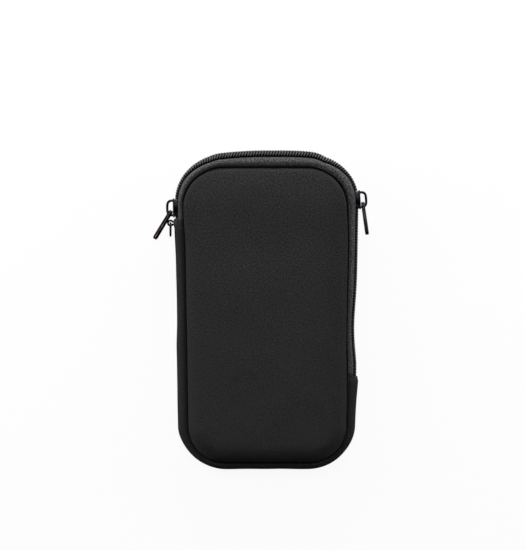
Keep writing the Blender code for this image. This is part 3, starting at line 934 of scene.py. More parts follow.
@dataclass(frozen=True)
class Fabric(Finish):
    """Knitted or woven cloth with heathered fibres."""

    knitted: bool = True
    stitch: float = 0.00062
    grain: float = 0.5
    cloud: float = 0.25
    relief: float = 0.00012
    sheen: float = 0.25
    specular: float = 0.05
    # Grain strength at the bottom and at the top of the fabric map; stronger grain towards the top
    # is painted relief shading from the low lamp above.
    fade: Pair = (1.0, 1.0)
    fade_half: float = 0.07
    # Colour factor in the stitches' hollows and on their tops: painted shade between the stitches.
    painted_stitch_shade: Pair = (0.84, 1.08)
    roughness: Pair = (0.95, 0.82)
    lint_gain: float = 1.9
    lint_lift: float = 0.004
    lint_share: float = 0.35
    sheen_roughness: float = 0.55
    sheen_gain: float = 8.0
    fibre_relief: float = 0.8
    strength: float = 0.8

    def dress(self, sheet: NodeSheet, surface: Node) -> None:
        """Set up cloth: fibres and painted shade in the colour, stitches in the height.

        Args:
            sheet: The material's nodes.
            surface: Its shader.
        """
        place = sheet.add("ShaderNodeUVMap", uv_map=FABRIC_MAP).outputs[0]
        shared = (KNIT if self.knitted else WEAVE).tree()
        height = sheet.group(shared, Place=place, Size=self.stitch).outputs[0]
        split = sheet.add("ShaderNodeSeparateXYZ")
        sheet.feed(split.inputs[0], place)
        # The fibre grain grows towards the top: painted relief shading from the low lamp above.
        raised = sheet.spread(split.outputs[1], -self.fade_half, self.fade_half, *self.fade)
        grain = sheet.math("MULTIPLY", raised, self.grain)
        fibres = sheet.group(HEATHER.tree(), Place=place, Grain=grain, Cloud=self.cloud)
        # The colour darkens between the stitches: painted shade in the knit's hollows.
        stitches = sheet.spread(height, 0.0, 1.0, *self.painted_stitch_shade)
        tone = sheet.tinted(self.colour, sheet.math("MULTIPLY", fibres.outputs[0], stitches))
        light = tuple(min(part * self.lint_gain + self.lint_lift, 1.0) for part in self.colour)
        share = sheet.math("MULTIPLY", fibres.outputs[1], self.lint_share)
        gloss = tuple(min(part * self.sheen_gain, 1.0) for part in self.colour)
        looks = {
            "Base Color": sheet.mix(share, tone, rgba(light)),
            "Roughness": sheet.spread(height, 0.0, 1.0, *self.roughness),
            "Specular IOR Level": self.specular,
            "Sheen Weight": self.sheen,
            "Sheen Roughness": self.sheen_roughness,
            "Sheen Tint": rgba(gloss),
        }
        sheet.fill(surface, looks)
        rough = sheet.math("MULTIPLY", fibres.outputs[0], self.fibre_relief)
        rough = sheet.math("ADD", height, rough)
        sheet.raise_surface(surface, self.strength, self.relief, rough)


@dataclass(frozen=True)
class Nylon(Finish):
    """Smooth moulded nylon of the coil's wire."""

    wear: float = 0.6
    grain: float = 0.25
    cloud: float = 0.35
    rubbed_gain: float = 1.5
    roughness: Sizes = (0.3, 0.7, 0.36, 0.52)
    strength: float = 0.3
    relief: float = 0.00003

    def dress(self, sheet: NodeSheet, surface: Node) -> None:
        """Set up nylon: faint draw lines and rubbed tops.

        Args:
            sheet: The material's nodes.
            surface: Its shader.
        """
        place = sheet.add("ShaderNodeUVMap", uv_map=FABRIC_MAP).outputs[0]
        wear = sheet.group(WEAR.tree(), Strength=self.wear)
        fibres = sheet.group(HEATHER.tree(), Place=place, Grain=self.grain, Cloud=self.cloud)
        tone = sheet.tinted(self.colour, fibres.outputs[0])
        light = rgba(tuple(part * self.rubbed_gain for part in self.colour))
        sheet.feed(surface.inputs["Base Color"], sheet.mix(wear.outputs[0], tone, light))
        sheet.feed(surface.inputs["Roughness"], sheet.spread(wear.outputs[1], *self.roughness))
        sheet.raise_surface(surface, self.strength, self.relief, wear.outputs[1])


@dataclass(frozen=True)
class Metal(Finish):
    """Plated metal, rubbed brighter along its edges, partly painted reflection on the left pull."""

    # Tint of the rubbed edges; on the left pull this brown is partly painted reflection, partly
    # copper showing through wear.
    wear_and_reflection: Colour = (0.4, 0.38, 0.36)
    roughness: float = 0.32
    rim: float = 0.3
    # Tint of the lighter patches; the left pull's brown patches are painted reflection as well as a
    # copper tint.
    patch: Colour = (0.09, 0.09, 0.115)
    wear: float = 0.7
    patch_scale: float = 330.0
    patch_roughness: float = 0.6
    patch_spread: Sizes = (0.54, 0.66, 0.0, 0.6)
    mark_range: Pair = (0.3, 0.7)
    smoother: float = 0.06
    rougher: float = 0.1
    strength: float = 0.25
    relief: float = 0.00004

    def dress(self, sheet: NodeSheet, surface: Node) -> None:
        """Set up the plating: marks in the roughness, wear and painted reflection in the colour.

        Args:
            sheet: The material's nodes.
            surface: Its shader.
        """
        wear = sheet.group(WEAR.tree(), Strength=self.wear)
        place = sheet.add("ShaderNodeTexCoord").outputs["Object"]
        patch = sheet.noise(place, self.patch_scale, 2.0, self.patch_roughness)
        patch = sheet.spread(patch, *self.patch_spread)
        # Lighter patches in the colour; on the left pull they are painted brown reflection.
        ground = sheet.mix(patch, rgba(self.colour), rgba(self.patch))
        marks = (self.roughness - self.smoother, self.roughness + self.rougher)
        looks = {
            "Base Color": sheet.mix(wear.outputs[0], ground, rgba(self.wear_and_reflection)),
            "Metallic": 1.0,
            "Specular Tint": rgba((self.rim,) * 3),
            "Roughness": sheet.spread(wear.outputs[1], *self.mark_range, *marks),
        }
        sheet.fill(surface, looks)
        sheet.raise_surface(surface, self.strength, self.relief, wear.outputs[1])


# Its fade paints stronger fibre grain towards the top, as relief shading from the low lamp above.
NEOPRENE = Fabric(
    "NeopreneKnit", "neoprene", (0.02, 0.02, 0.0206), stitch=0.00046, grain=1.6, cloud=0.15,
    relief=0.0002, sheen=0.12, fade=(0.6, 1.2),
)
BAND = Fabric(
    "BandKnit", "gusset_neoprene", (0.016, 0.016, 0.0165), stitch=0.00046, grain=1.2, cloud=0.15,
    relief=0.00012, sheen=0.12,
)
STRIP = Fabric(
    "StripKnit", "zip_tape", (0.054, 0.054, 0.0529), stitch=0.00062, grain=3.0, cloud=0.3,
    relief=0.0003, sheen=0.2,
)
TAB = Fabric("TabKnit", "zip_tape", (0.022, 0.022, 0.0218), stitch=0.0005, grain=2.0, relief=0.0002)
# The tape's near-black colour is painted shadow: the dark line between the strip and the coil.
TAPE = Fabric(
    "TapeWeave", "zip_tape", (0.0042, 0.0042, 0.0043), knitted=False, stitch=0.00042, sheen=0.0
)
# The seam cord's dark colour is painted shade in the seam's groove.
CORD = Fabric(
    "SeamCordWeave", "binding", (0.006, 0.006, 0.0061), knitted=False, stitch=0.0005, sheen=0.0
)
# Near-black; on the zip's core this is painted shade between the coil's turns.
BINDING = Fabric(
    "BindingWeave", "binding", (0.0025, 0.0025, 0.0026), knitted=False, stitch=0.0005, sheen=0.0
)
THREAD = Fabric(
    "SewingThread", "thread", (0.032, 0.032, 0.033), knitted=False, stitch=0.00022, sheen=0.1
)
COIL = Nylon("CoilNylon", "zip_coil", (0.069, 0.069, 0.071))
SLIDER = Metal(
    "SliderPlating", "slider_metal", (0.022, 0.0235, 0.029), wear_and_reflection=(0.11, 0.11, 0.12),
    roughness=0.36,
)
WIRE = Metal(
    "WirePlating", "slider_metal", (0.013, 0.013, 0.015), wear_and_reflection=(0.08, 0.08, 0.085),
    roughness=0.33,
)
# The brown patches and edges are painted brown reflection, partly copper showing through wear.
PULL = Metal(
    "PullPlating", "pull_metal", (0.022, 0.022, 0.023), wear_and_reflection=(0.14, 0.085, 0.06),
    roughness=0.28, patch=(0.2, 0.1, 0.065),
)
GREY_PULL = Metal(
    "GreyPullPlating", "pull_metal", (0.022, 0.022, 0.023), wear_and_reflection=(0.11, 0.085, 0.075),
    roughness=0.28, patch=(0.08, 0.08, 0.095),
)


class Seed(Enum):
    """Where in the noise each kind of unevenness is read."""

    BAND_FULLNESS = 2.0
    FRONT_PUCKER = 3.0
    STRIP_SAG = 5.0
    FRONT_WAVE = 7.0
    BAND_PINCH = 9.0
    BACK_PUCKER = 11.0


def ripple(place: Vector, scale: float, seed: Seed, shift: float = 0.0) -> float:
    """Smooth noise between about -1 and 1 for puckers and sags."""
    return noise.noise(Vector((place.x / scale, place.y / scale, seed.value + shift)))


def squarish(values: Array, power: float) -> Array:
    """Flatten a sine or cosine towards its ends."""
    return np.sign(values) * np.abs(values) ** power


@dataclass
class Panels:
    """The crowned front panel and the flat back panel, with rolled edges."""

    bottom_count: int = 14
    bottom_corner: int = 18
    side_count: int = 76
    top_corner: int = 22
    top_count: int = 24
    insets: Sizes = (
        0.0, 0.00006, 0.00022, 0.0005, 0.0009, 0.0014, 0.0019, 0.0025, 0.0034, 0.0046, 0.006
    )
    pucker: float = 0.00018
    wave: float = 0.00035
    settle_cap: float = 0.0007
    settle_frames: int = 10
    ironing: int = 60
    held_inset: float = 0.0022
    drawn: float = 0.0005
    fullness: float = 1.4
    foot_y: float = -0.03
    foot_length: float = 0.04
    foot_roll: float = 0.5
    pucker_reach: float = 0.006
    pucker_size: float = 0.0045
    back_share: float = 0.5
    wave_start: float = 0.012
    wave_size: float = 0.021
    base_depth: float = 0.006
    drawn_from_y: float = 0.045
    drawn_length: float = 0.028
    seam_samples: int = 900

    def __post_init__(self) -> None:
        """Lay out the rings by the seam and the grid inside them."""
        b, c, s, d, t = (
            self.bottom_count, self.bottom_corner, self.side_count, self.top_corner, self.top_count
        )
        self.counts = (b, c, s, d, t, d, s, c, b)
        width, height = d + t, c // 2 + s + d // 2
        total = 2 * (width + height)
        rings = len(self.insets)
        low_left = b + c // 2
        columns = np.arange(width + 1)
        spots = np.full((height + 1, width + 1), -1)
        last = (rings - 1) * total
        spots[:, 0] = last + low_left + np.arange(height + 1)
        spots[-1] = last + low_left + height + columns
        spots[:, -1] = last + (low_left - width - np.arange(height + 1)) % total
        spots[0] = last + (low_left - columns) % total
        middle = np.arange((height - 1) * (width - 1)).reshape(height - 1, -1)
        spots[1:-1, 1:-1] = rings * total + middle
        self.grid, self.total = spots, total
        near = np.arange(rings * total).reshape(rings, total)
        after = np.roll(near, -1, 1)
        bands = np.stack([near[:-1], near[1:], after[1:], after[:-1]], -1).reshape(-1, 4)
        inside = np.stack([spots[:-1, :-1], spots[:-1, 1:], spots[1:, 1:], spots[1:, :-1]], -1)
        self.faces = np.concatenate([bands[:, ::-1], inside.reshape(-1, 4)], 0)

    def plan(self) -> tuple[Array, Array]:
        """Lay out one face flat.

        Returns:
            X and Y of each point, and how far each is inside the seam.
        """
        flat, inset = [], []
        for depth in self.insets:
            ring = SHAPE.route(max(depth, SHAPE.gap / 2)).ring(self.counts)
            flat += [tuple(place) for place, _ in ring]
            inset += [depth] * self.total
        spots = np.array(flat)
        rows = self.grid.shape[0] - 1
        columns = self.grid.shape[1] - 1
        v = (np.arange(rows + 1) / rows)[:, None, None]
        u = (np.arange(columns + 1) / columns)[None, :, None]
        left, right = spots[self.grid[:, 0]][:, None], spots[self.grid[:, -1]][:, None]
        low, high = spots[self.grid[0]][None], spots[self.grid[-1]][None]
        corners = (1 - v) * ((1 - u) * low[:, :1] + u * low[:, -1:])
        corners = corners + v * ((1 - u) * high[:, :1] + u * high[:, -1:])
        filled = (1 - v) * low + v * high + (1 - u) * left + u * right - corners
        inner = filled[1:-1, 1:-1].reshape(-1, 2)
        seam = SHAPE.route()
        count = self.seam_samples
        line = [tuple(seam.at(seam.starts[-1] * k / count)[0]) for k in range(count)]
        gaps = [float(np.sqrt(((np.array(line) - spot) ** 2).sum(1).min())) for spot in inner]
        return np.concatenate([spots, inner], 0), np.array(inset + gaps)

    def outer_front(self, inset: float, place: Vector) -> float:
        """Height of the front face, fuller at its foot, with puckers and a slow wave.

        Args:
            inset: How far inside the seam the point is.
            place: Its X and Y.

        Returns:
            The height.
        """
        fade = math.exp(-((inset / self.pucker_reach) ** 2))
        foot = smooth((self.foot_y - place.y) / self.foot_length)
        away = (1 - min(inset / SHAPE.crown_inset, 1)) ** (self.fullness + foot)
        level = SHAPE.front_height(SHAPE.crown_inset * (1 - away), place.y)
        level -= SHAPE.roll_dip(inset) * (1 - self.foot_roll * foot)
        level += self.pucker * fade * ripple(place, self.pucker_size, Seed.FRONT_PUCKER)
        inner = smooth(inset / self.wave_start)
        return level + self.wave * inner * ripple(place, self.wave_size, Seed.FRONT_WAVE)

    def outer_back(self, inset: float, place: Vector) -> float:
        """Height of the back face, which rests flat.

        Args:
            inset: How far inside the seam the point is.
            place: Its X and Y.

        Returns:
            The height.
        """
        lift = SHAPE.back_lift * (1 - smooth(inset / (2 * SHAPE.back_inset)))
        near = smooth(1 - inset / self.pucker_reach)
        uneven = 1 + ripple(place, self.pucker_size, Seed.BACK_PUCKER)
        return lift + SHAPE.roll_dip(inset) + self.pucker * self.back_share * near * uneven

    def lined(self, inset: float, place: Vector, front: bool) -> float:
        """Height of a panel's lining side.

        Args:
            inset: How far inside the seam the point is.
            place: Its X and Y.
            front: Whether it is on the front panel.

        Returns:
            The height.
        """
        if front:
            return SHAPE.front_height(inset, place.y) - SHAPE.panel + SHAPE.roll_dip(inset)
        return SHAPE.back_lift + SHAPE.panel - SHAPE.roll_dip(inset)

    def rim(self, count: int) -> Array:
        """Join the seam's points to their partners in a second layer.

        Args:
            count: How many points the first layer has.

        Returns:
            The faces between the two layers.
        """
        around = np.arange(self.total)
        beside = (around + 1) % self.total
        return np.stack([around, beside, beside + count, around + count], -1)

    def settled(self, points: Array, inset: Array) -> Array:
        """Let the front face settle as cloth that is held along its seam and pressed from behind.

        A held copy behind the face closes the form that the pressure fills. The moves are then
        ironed smooth and scaled down to the cap.

        Args:
            points: The face's points.
            inset: How far each point is inside the seam.

        Returns:
            How far each point moves.
        """
        count = len(points)
        base = points - (0.0, 0.0, self.base_depth)
        draft = MeshDraft()
        draft.patch(np.concatenate([points, base], 0), self.faces)
        draft.faces += (self.faces[:, ::-1] + count).tolist()
        draft.faces += self.rim(count).tolist()
        mesh = bpy.data.meshes.new("settling")
        mesh.from_pydata(np.concatenate(draft.points, 0).tolist(), [], draft.faces)
        item = bpy.data.objects.new("settling", mesh)
        scene = bpy.context.scene
        scene.collection.objects.link(item)
        held = item.vertex_groups.new(name="held")
        fixed = [k for k in range(count) if inset[k] < self.held_inset]
        held.add(fixed + list(range(count, 2 * count)), 1.0, "REPLACE")
        cloth = item.modifiers.new("settle", "CLOTH")
        cloth.settings.quality = 6
        cloth.settings.mass = 0.25
        cloth.settings.tension_stiffness = cloth.settings.compression_stiffness = 30
        cloth.settings.bending_stiffness = 3.0
        cloth.settings.shrink_min = -0.012
        cloth.settings.vertex_group_mass = "held"
        cloth.settings.use_pressure = True
        cloth.settings.uniform_pressure_force = 2.5
        cloth.settings.effector_weights.gravity = 0
        cloth.collision_settings.use_collision = False
        cloth.point_cache.frame_start, cloth.point_cache.frame_end = 1, self.settle_frames
        for step in range(1, self.settle_frames + 1):
            scene.frame_set(step)
        solved = item.evaluated_get(bpy.context.evaluated_depsgraph_get()).to_mesh()
        spots = np.empty(len(solved.vertices) * 3)
        solved.vertices.foreach_get("co", spots)
        moves = spots.reshape(-1, 3)[:count] - points
        scene.frame_set(1)
        bpy.data.objects.remove(item, do_unlink=True)
        bpy.data.meshes.remove(mesh)
        LOG.info("cloth moves the front face by up to %.2f mm", np.abs(moves).max() * 1000)
        pairs = np.concatenate([self.faces[:, [k, (k + 1) % 4]] for k in range(4)], 0)
        shares = np.bincount(pairs[:, 0], minlength=count)[:, None]
        for _ in range(self.ironing):
            summed = np.zeros_like(moves)
            np.add.at(summed, pairs[:, 0], moves[pairs[:, 1]])
            moves = summed / shares
            moves[fixed] = 0
        return moves * min(1.0, self.settle_cap / np.linalg.norm(moves, axis=1).max())

    def shell(self, name: str, front: bool, node: str) -> Piece:
        """Skin a panel: its outer face, its rolled edge and its lining side.

        Args:
            name: The piece's name.
            front: Whether this is the front panel.
            node: The solid that it stands for.

        Returns:
            The panel.
        """
        flat, inset = self.plan()
        outer = self.outer_front if front else self.outer_back
        face, lining = [], []
        for spot, depth in zip(flat, inset):
            place = Vector(spot)
            face.append((*spot, outer(depth, place)))
            lining.append((*spot, self.lined(depth, place, front)))
        face, lining = np.array(face), np.array(lining)
        if front:
            moves = self.settled(face, inset)
            face, lining = face + moves, lining + moves
        if front:
            for points in (face, lining):
                drawn = np.clip((points[:, 1] - self.drawn_from_y) / self.drawn_length, 0, 1)
                points[:, 1] -= self.drawn * drawn
                points[:, 0] *= 1 - self.drawn * drawn / SHAPE.top_half
        draft = MeshDraft()
        draft.patch(SHAPE.leaned(face), self.faces if front else self.faces[:, ::-1])
        draft.patch(SHAPE.leaned(lining), self.faces[:, ::-1] if front else self.faces)
        rim = self.rim(len(face))
        rim = rim if front else rim[:, ::-1]
        draft.faces += rim.tolist()
        draft.places.append(np.concatenate(draft.points, 0)[rim][..., [0, 2]].reshape(-1, 2))
        return draft.piece(name, NEOPRENE, nodes=(node,), weld=True)

    def build(self) -> None:
        """Make both panels."""
        faces = (("front_face", True, "front_panel"), ("back_face", False, "back_panel"))
        for face in faces:
            self.shell(*face)


@dataclass
class Zip:
    """Both halves of the coil zip: knitted strips, woven tapes, coils and their thread."""

    chain_reach: float = 0.0049
    line_rise: float = 0.0067
    line_radius: float = 0.024
    arch: float = 0.0022
    arch_half: float = 0.03
    left_tail: float = 0.0048
    right_end_rise: float = 0.043
    right_slider_rise: float = 0.0042
    tape: float = 0.0006
    tape_depth: float = 0.0009
    tape_setback: float = 0.00125
    tape_rise: float = 0.0015
    tape_reach: float = 0.0006
    coil_width: float = 0.0025
    coil_height: float = 0.0016
    gap: float = 0.0003
    front_spread: float = 0.007
    back_spread: float = 0.0053
    flare: float = 0.032
    front_angle: float = math.radians(17)
    corner_angle: float = math.radians(58)
    back_angle: float = math.radians(60)
    closed_angle: float = math.radians(90)
    slider: float = 0.0098
    post: float = 0.0009
    pitch: float = 0.00145
    wire: float = 0.00029
    slant: float = 0.0005
    mesh_reach: float = 0.00052
    root_reach: float = 0.00035
    strip_rise: float = 0.0015
    closed_rise: float = 0.001
    end_taper: float = 0.003
    strip_end: float = 0.89
    strip_dive: float = 0.0013
    strip_gap: float = 0.0004
    least_level: float = 0.00008
    step: float = 0.0008
    left_arch: int = 2
    right_arch: int = 4
    facing_power: int = 3
    lean_share: float = 0.7
    strip_over: int = 15
    strip_under: int = 9
    strip_back: float = 0.00025
    strip_round: float = 0.5
    strip_extra: float = 0.0004
    strip_sink: float = 0.0001
    end_sink: float = 0.0005
    back_fullness: float = 0.35
    sag: float = 0.00012
    sag_size: float = 0.0062
    tape_shares: Sizes = (0.76, 0.82, 0.88, 0.94, 1.0)
    tape_ends: Sizes = (0.5, 1.0)
    tape_humps: Sizes = (0.4, 0.8, 1.6, 2.6, 3.2, 3.2, 2.4)
    turn_steps: int = 20
    head_length: float = 0.8
    closing_rate: int = 6
    wire_square: float = 0.4
    wire_swell: float = 0.16
    wire_swell_power: int = 6
    wire_flat: float = 1.06
    wire_sides: int = 10
    look_ahead: float = 0.0004
    cord_steps: int = 4
    core_place: float = 0.46
    core_radius: float = 0.00116
    core_flat: float = 0.37
    core_sides: int = 12
    core_up: float = 0.001
    thread_rows: Sizes = (0.2, 0.52)
    thread_radius: float = 0.00008
    thread_proud: float = 0.00002
    thread_dip: float = 0.00034
    thread_sides: int = 6
    thread_up: Sizes = (0.13, 0.21, 0.97)

    def __post_init__(self) -> None:
        """Work out the teeth line, the sliders' places and the zip's ends."""
        self.seam = SHAPE.route()
        spread = (SHAPE.top_half - SHAPE.bottom_half) / (SHAPE.top_y - SHAPE.bottom_y)
        top_half = SHAPE.top_half + self.chain_reach + self.line_rise * spread
        self.line = Route(
            (top_half, SHAPE.bottom_half + self.chain_reach),
            (SHAPE.top_y + self.line_rise, SHAPE.bottom_y),
            (self.line_radius, SHAPE.least_radius),
        )
        self.slider_y = self.seam.at(self.seam.starts[LEFT_CORNER])[0].y
        self.left_end_y = self.slider_y - self.slider / 2 - self.left_tail
        self.right_end_y = SHAPE.bottom_y + self.right_end_rise
        self.left_slider = self.line.height_on(LEFT_SIDE, self.slider_y)
        self.right_slider = self.line.height_on(RIGHT_SIDE, self.slider_y) - self.right_slider_rise
        self.start = self.line.height_on(LEFT_SIDE, self.left_end_y)
        self.end = self.line.height_on(RIGHT_SIDE, self.right_end_y)
        self.survey()

    @property
    def coil_middle(self) -> float:
        """Height of the coil's middle above the tape's middle line."""
        return self.tape / 2 + self.gap + self.coil_height / 2

    def survey(self) -> None:
        """Measure the zip closely along its whole length."""
        count = int((self.end - self.start) / self.step) + 1
        self.spots = np.linspace(self.start, self.end, count)
        found = []
        for spot in self.spots:
            point, outward = self.line.at(spot)
            reach = self.seam.inward_gap(point, outward)
            seam = point - outward * reach
            if point.y > SHAPE.top_y:
                share = min(abs(point.x) / self.arch_half, 1.0)
                power = self.right_arch if point.x > 0 else self.left_arch
                reach += self.arch * (1 - share**power)
            ahead = min(spot - self.left_slider, self.right_slider - spot)
            half = self.slider / 2
            parting = smooth((ahead + half) / half) * (self.post + self.gap)
            opening = smooth((ahead - half) / self.flare)
            found.append((*seam, *outward, reach, parting, opening))
        self.table = np.array(found)

    def read(self, spots: Array, side: Side) -> dict[str, Array]:
        """Read the survey at places along the zip.

        Args:
            spots: Distances along the teeth line.
            side: Which half of the zip.

        Returns:
            The seam point, outward direction, coil root, width and face directions, and tape start.
        """
        columns = [np.interp(spots, self.spots, self.table[:, k]) for k in range(7)]
        seam = np.stack(columns[:2], -1)
        out = unit(np.stack(columns[2:4], -1))
        reach, parting, opening = columns[4:]
        facing = np.clip(out[..., 1], 0, 1) ** self.facing_power
        turned = self.corner_angle + (self.front_angle - self.corner_angle) * facing
        open_angle = turned if side is Side.FRONT else self.back_angle
        angle = self.closed_angle + (open_angle - self.closed_angle) * opening
        along = np.stack([np.cos(angle), -np.sin(angle)], -1)
        face = np.stack([np.sin(angle), np.cos(angle)], -1)
        stack = self.tape / 2 + self.gap + self.coil_height
        closed = self.gap / 2 + self.coil_width + parting
        spread = self.front_spread if side is Side.FRONT else self.back_spread
        root_reach = reach - self.coil_width * along[..., 0] - stack * face[..., 0]
        root = np.stack([root_reach, closed + (spread - closed) * opening], -1)
        if side is Side.FRONT:
            heights = np.array([SHAPE.seam_height(y) for y in np.ravel(seam[..., 1])])
            rise = heights.reshape(seam.shape[:-1]) - self.tape_depth - SHAPE.middle
        else:
            rise = np.full(seam.shape[:-1], SHAPE.middle - SHAPE.back_lift - self.tape_depth)
        begin = np.stack([np.full_like(rise, SHAPE.gap / 2 + self.tape / 2), rise], -1)
        return {
            "seam": seam, "out": out, "root": root, "along": along, "face": face,
            "begin": begin, "opening": opening, "parting": parting,
        }

    def lift(self, cut: dict[str, Array], spots: Array, side: Side) -> Array:
        """Turn reach and rise into places, leaning the parts near the seam.

        Args:
            cut: A reading of the survey.
            spots: Reach and rise, in the last axis.
            side: Which half of the zip.

        Returns:
            Points in three coordinates.
        """
        seam, out = cut["seam"], cut["out"]
        extra = spots.ndim - seam.ndim
        for _ in range(extra):
            seam, out = seam[..., None, :], out[..., None, :]
        flat = seam + out * spots[..., :1]
        level = SHAPE.middle + side.value * spots[..., 1:]
        share = np.clip(1 - spots[..., 0] / (self.chain_reach * self.lean_share), 0, 1)
        placed = SHAPE.leaned(np.concatenate([flat, level], -1), share)
        placed[..., 2] = np.maximum(placed[..., 2], self.least_level)
        return placed

    def curve(self, cut: dict[str, Array], shares: Array) -> tuple[Array, Array]:
        """Follow the tape's middle line from the seam to the coil's root.

        Args:
            cut: A reading of the survey.
            shares: How far along the line each point is, from 0 to 1.

        Returns:
            The points, and the direction out of the tape's face at each.
        """
        begin, root = cut["begin"][:, None], cut["root"][:, None]
        first = begin + np.array([self.tape_reach, self.tape_rise])
        second = root - cut["along"][:, None] * self.tape_rise
        t = shares[None, :, None]
        r = 1 - t
        line = begin * r**3 + first * 3 * r**2 * t + second * 3 * r * t**2 + root * t**3
        ahead = (first - begin) * 3 * r**2 + (second - first) * 6 * r * t
        ahead = ahead + (root - second) * 3 * t**2
        ahead = unit(ahead)
        return line, np.stack([-ahead[..., 1], ahead[..., 0]], -1)

    def strip(self, side: Side) -> None:
        """Make the thick knitted strip that covers the tape from the seam to the coil.

        Args:
            side: Which half of the zip.
        """
        cut = self.read(self.spots, side)
        cut["begin"] = cut["begin"] + (self.strip_gap, -self.strip_dive)
        over, under = self.strip_over, np.linspace(1, 0, self.strip_under)[1:-1]
        shares = np.concatenate([np.linspace(0, 1, over), under]) * self.strip_end
        line, outer = self.curve(cut, shares)
        level = np.full((len(self.spots), len(shares)), -self.strip_back)
        profile = np.sin(np.linspace(0.0, math.pi, over)) ** self.strip_round
        fullest = 1.0 if side is Side.FRONT else self.back_fullness
        for row, spot in enumerate(self.spots):
            swell = blend(self.closed_rise, self.strip_rise, cut["opening"][row]) * fullest
            ends = smooth(min(spot - self.start, self.end - spot) / self.end_taper)
            rise = (swell + self.strip_extra) * ends * profile
            level[row, :over] = rise - self.strip_sink - self.end_sink * (1 - ends)
            uneven = ripple(Vector((spot, 0)), self.sag_size, Seed.STRIP_SAG, side.value)
            level[row, 2 : over - 2] += self.sag * uneven
        rows = self.lift(cut, line + outer * level[..., None], side)
        self.skin(rows, side, "zip_strip", STRIP, (f"tape_{side.word}",))

    def skin(
        self, rows: Array, side: Side, name: str, finish: Fabric, nodes: Sequence[str] = ()
    ) -> None:
        """Close sections along the zip into one piece.

        Args:
            rows: The sections.
            side: Which half of the zip.
            name: The start of the piece's name.
            finish: What it is made of.
            nodes: The solids it stands for.
        """
        draft = MeshDraft()
        rows = rows if side is Side.BACK else rows[:, ::-1]
        draft.grid(rows, close_columns=True, caps=True)
        draft.piece(f"{name}_{side.word}", finish, nodes=nodes, weld=True)

    def ribbon(self, side: Side) -> None:
        """Make the woven tape's edge under the coil.

        Args:
            side: Which half of the zip.
        """
        cut = self.read(self.spots, side)
        line, _ = self.curve(cut, np.array(self.tape_shares))
        reach = self.coil_width - self.tape_setback
        ends = [cut["root"] + cut["along"] * reach * step for step in self.tape_ends]
        line = np.concatenate([line, np.stack(ends, 1)], 1)
        face = cut["face"][:, None] * self.tape / 2
        upper = line + face * np.array(self.tape_humps)[:, None]
        rows = self.lift(cut, np.concatenate([upper, (line - face)[:, ::-1]], 1), side)
        # The near-black tape finish is painted shadow between the strip and the coil.
        self.skin(rows, side, "zip_tape", TAPE)

    def along_zip(
        self, spots: Array, across: Array | float, out: Array | float, side: Side
    ) -> Array:
        """Place points by the coil.

        Args:
            spots: Distances along the teeth line.
            across: Distances across the coil from its root.
            out: Distances out of its face.
            side: Which half of the zip.

        Returns:
            Points in three coordinates.
        """
        cut = self.read(spots, side)
        ones = np.ones(len(spots))[:, None]
        across, out = (np.reshape(values, (-1, 1)) * ones for values in (across, out))
        return self.lift(cut, cut["root"] + cut["along"] * across + cut["face"] * out, side)

    def coil(self, side: Side) -> None:
        """Wind the coil: one wire, with a head at each turn's tip.

        Args:
            side: Which half of the zip.
        """
        turns = int((self.end - self.start) / self.pitch) - 1
        t = np.arange(turns * self.turn_steps + 1) / self.turn_steps
        turn = math.tau * t
        swing = ((1 - np.cos(turn)) / 2) ** self.head_length
        offset = 0.5 if side is Side.BACK else 0.0
        centre = self.start + (t + 0.5 + offset) * self.pitch
        parting, opening = (np.interp(centre, self.spots, self.table[:, k]) for k in (5, 6))
        closed = 1 - np.clip(opening * self.closing_rate, 0, 1)
        closed *= 1 - parting / (self.post + self.gap)
        back = self.root_reach * opening
        width = self.coil_width + self.mesh_reach * closed - 2 * self.wire + back
        spots = centre + self.slant * (swing - 0.5)
        reach = self.coil_height / 2 - self.wire
        height = self.coil_middle + reach * squarish(np.sin(turn), self.wire_square)
        across = self.wire - back + swing * width
        path = self.along_zip(spots, across, height, side)
        ahead = unit(self.along_zip(spots + self.look_ahead, across, height, side) - path)
        sizes = self.wire * (1 + self.wire_swell * swing**self.wire_swell_power)
        draft = MeshDraft()
        draft.tube(path, sizes, sides=self.wire_sides, up=ahead, flatten=self.wire_flat)
        draft.piece(f"zip_coil_{side.word}", COIL, nodes=(f"coil_{side.word}",))

    def core(self, side: Side) -> None:
        """Make the dark cord inside the coil, whose colour is painted shade between its turns.

        Args:
            side: Which half of the zip.
        """
        spots = np.arange(self.start, self.end, self.pitch / self.cord_steps)
        across, middle = self.coil_width * self.core_place, self.coil_middle
        line = self.along_zip(spots, across, middle, side)
        above = self.along_zip(spots, across, middle + self.core_up, side) - line
        draft = MeshDraft()
        draft.tube(line, self.core_radius, self.core_sides, above, self.core_flat, tapered=True)
        draft.piece(f"zip_core_{side.word}", BINDING)

    def stitching(self, side: Side) -> None:
        """Make the two rows of thread that sew the coil down.

        Args:
            side: Which half of the zip.
        """
        spots = np.arange(self.start, self.end, self.pitch / self.cord_steps)
        draft = MeshDraft()
        dip = 0.5 - 0.5 * np.cos(math.tau * (spots - self.start) / self.pitch)
        level = self.coil_middle + self.coil_height / 2 + self.thread_proud - self.thread_dip * dip
        for place in self.thread_rows:
            row = self.along_zip(spots, self.coil_width * place, level, side)
            draft.tube(row, self.thread_radius, self.thread_sides, self.thread_up, tapered=True)
        draft.piece(f"zip_thread_{side.word}", THREAD)

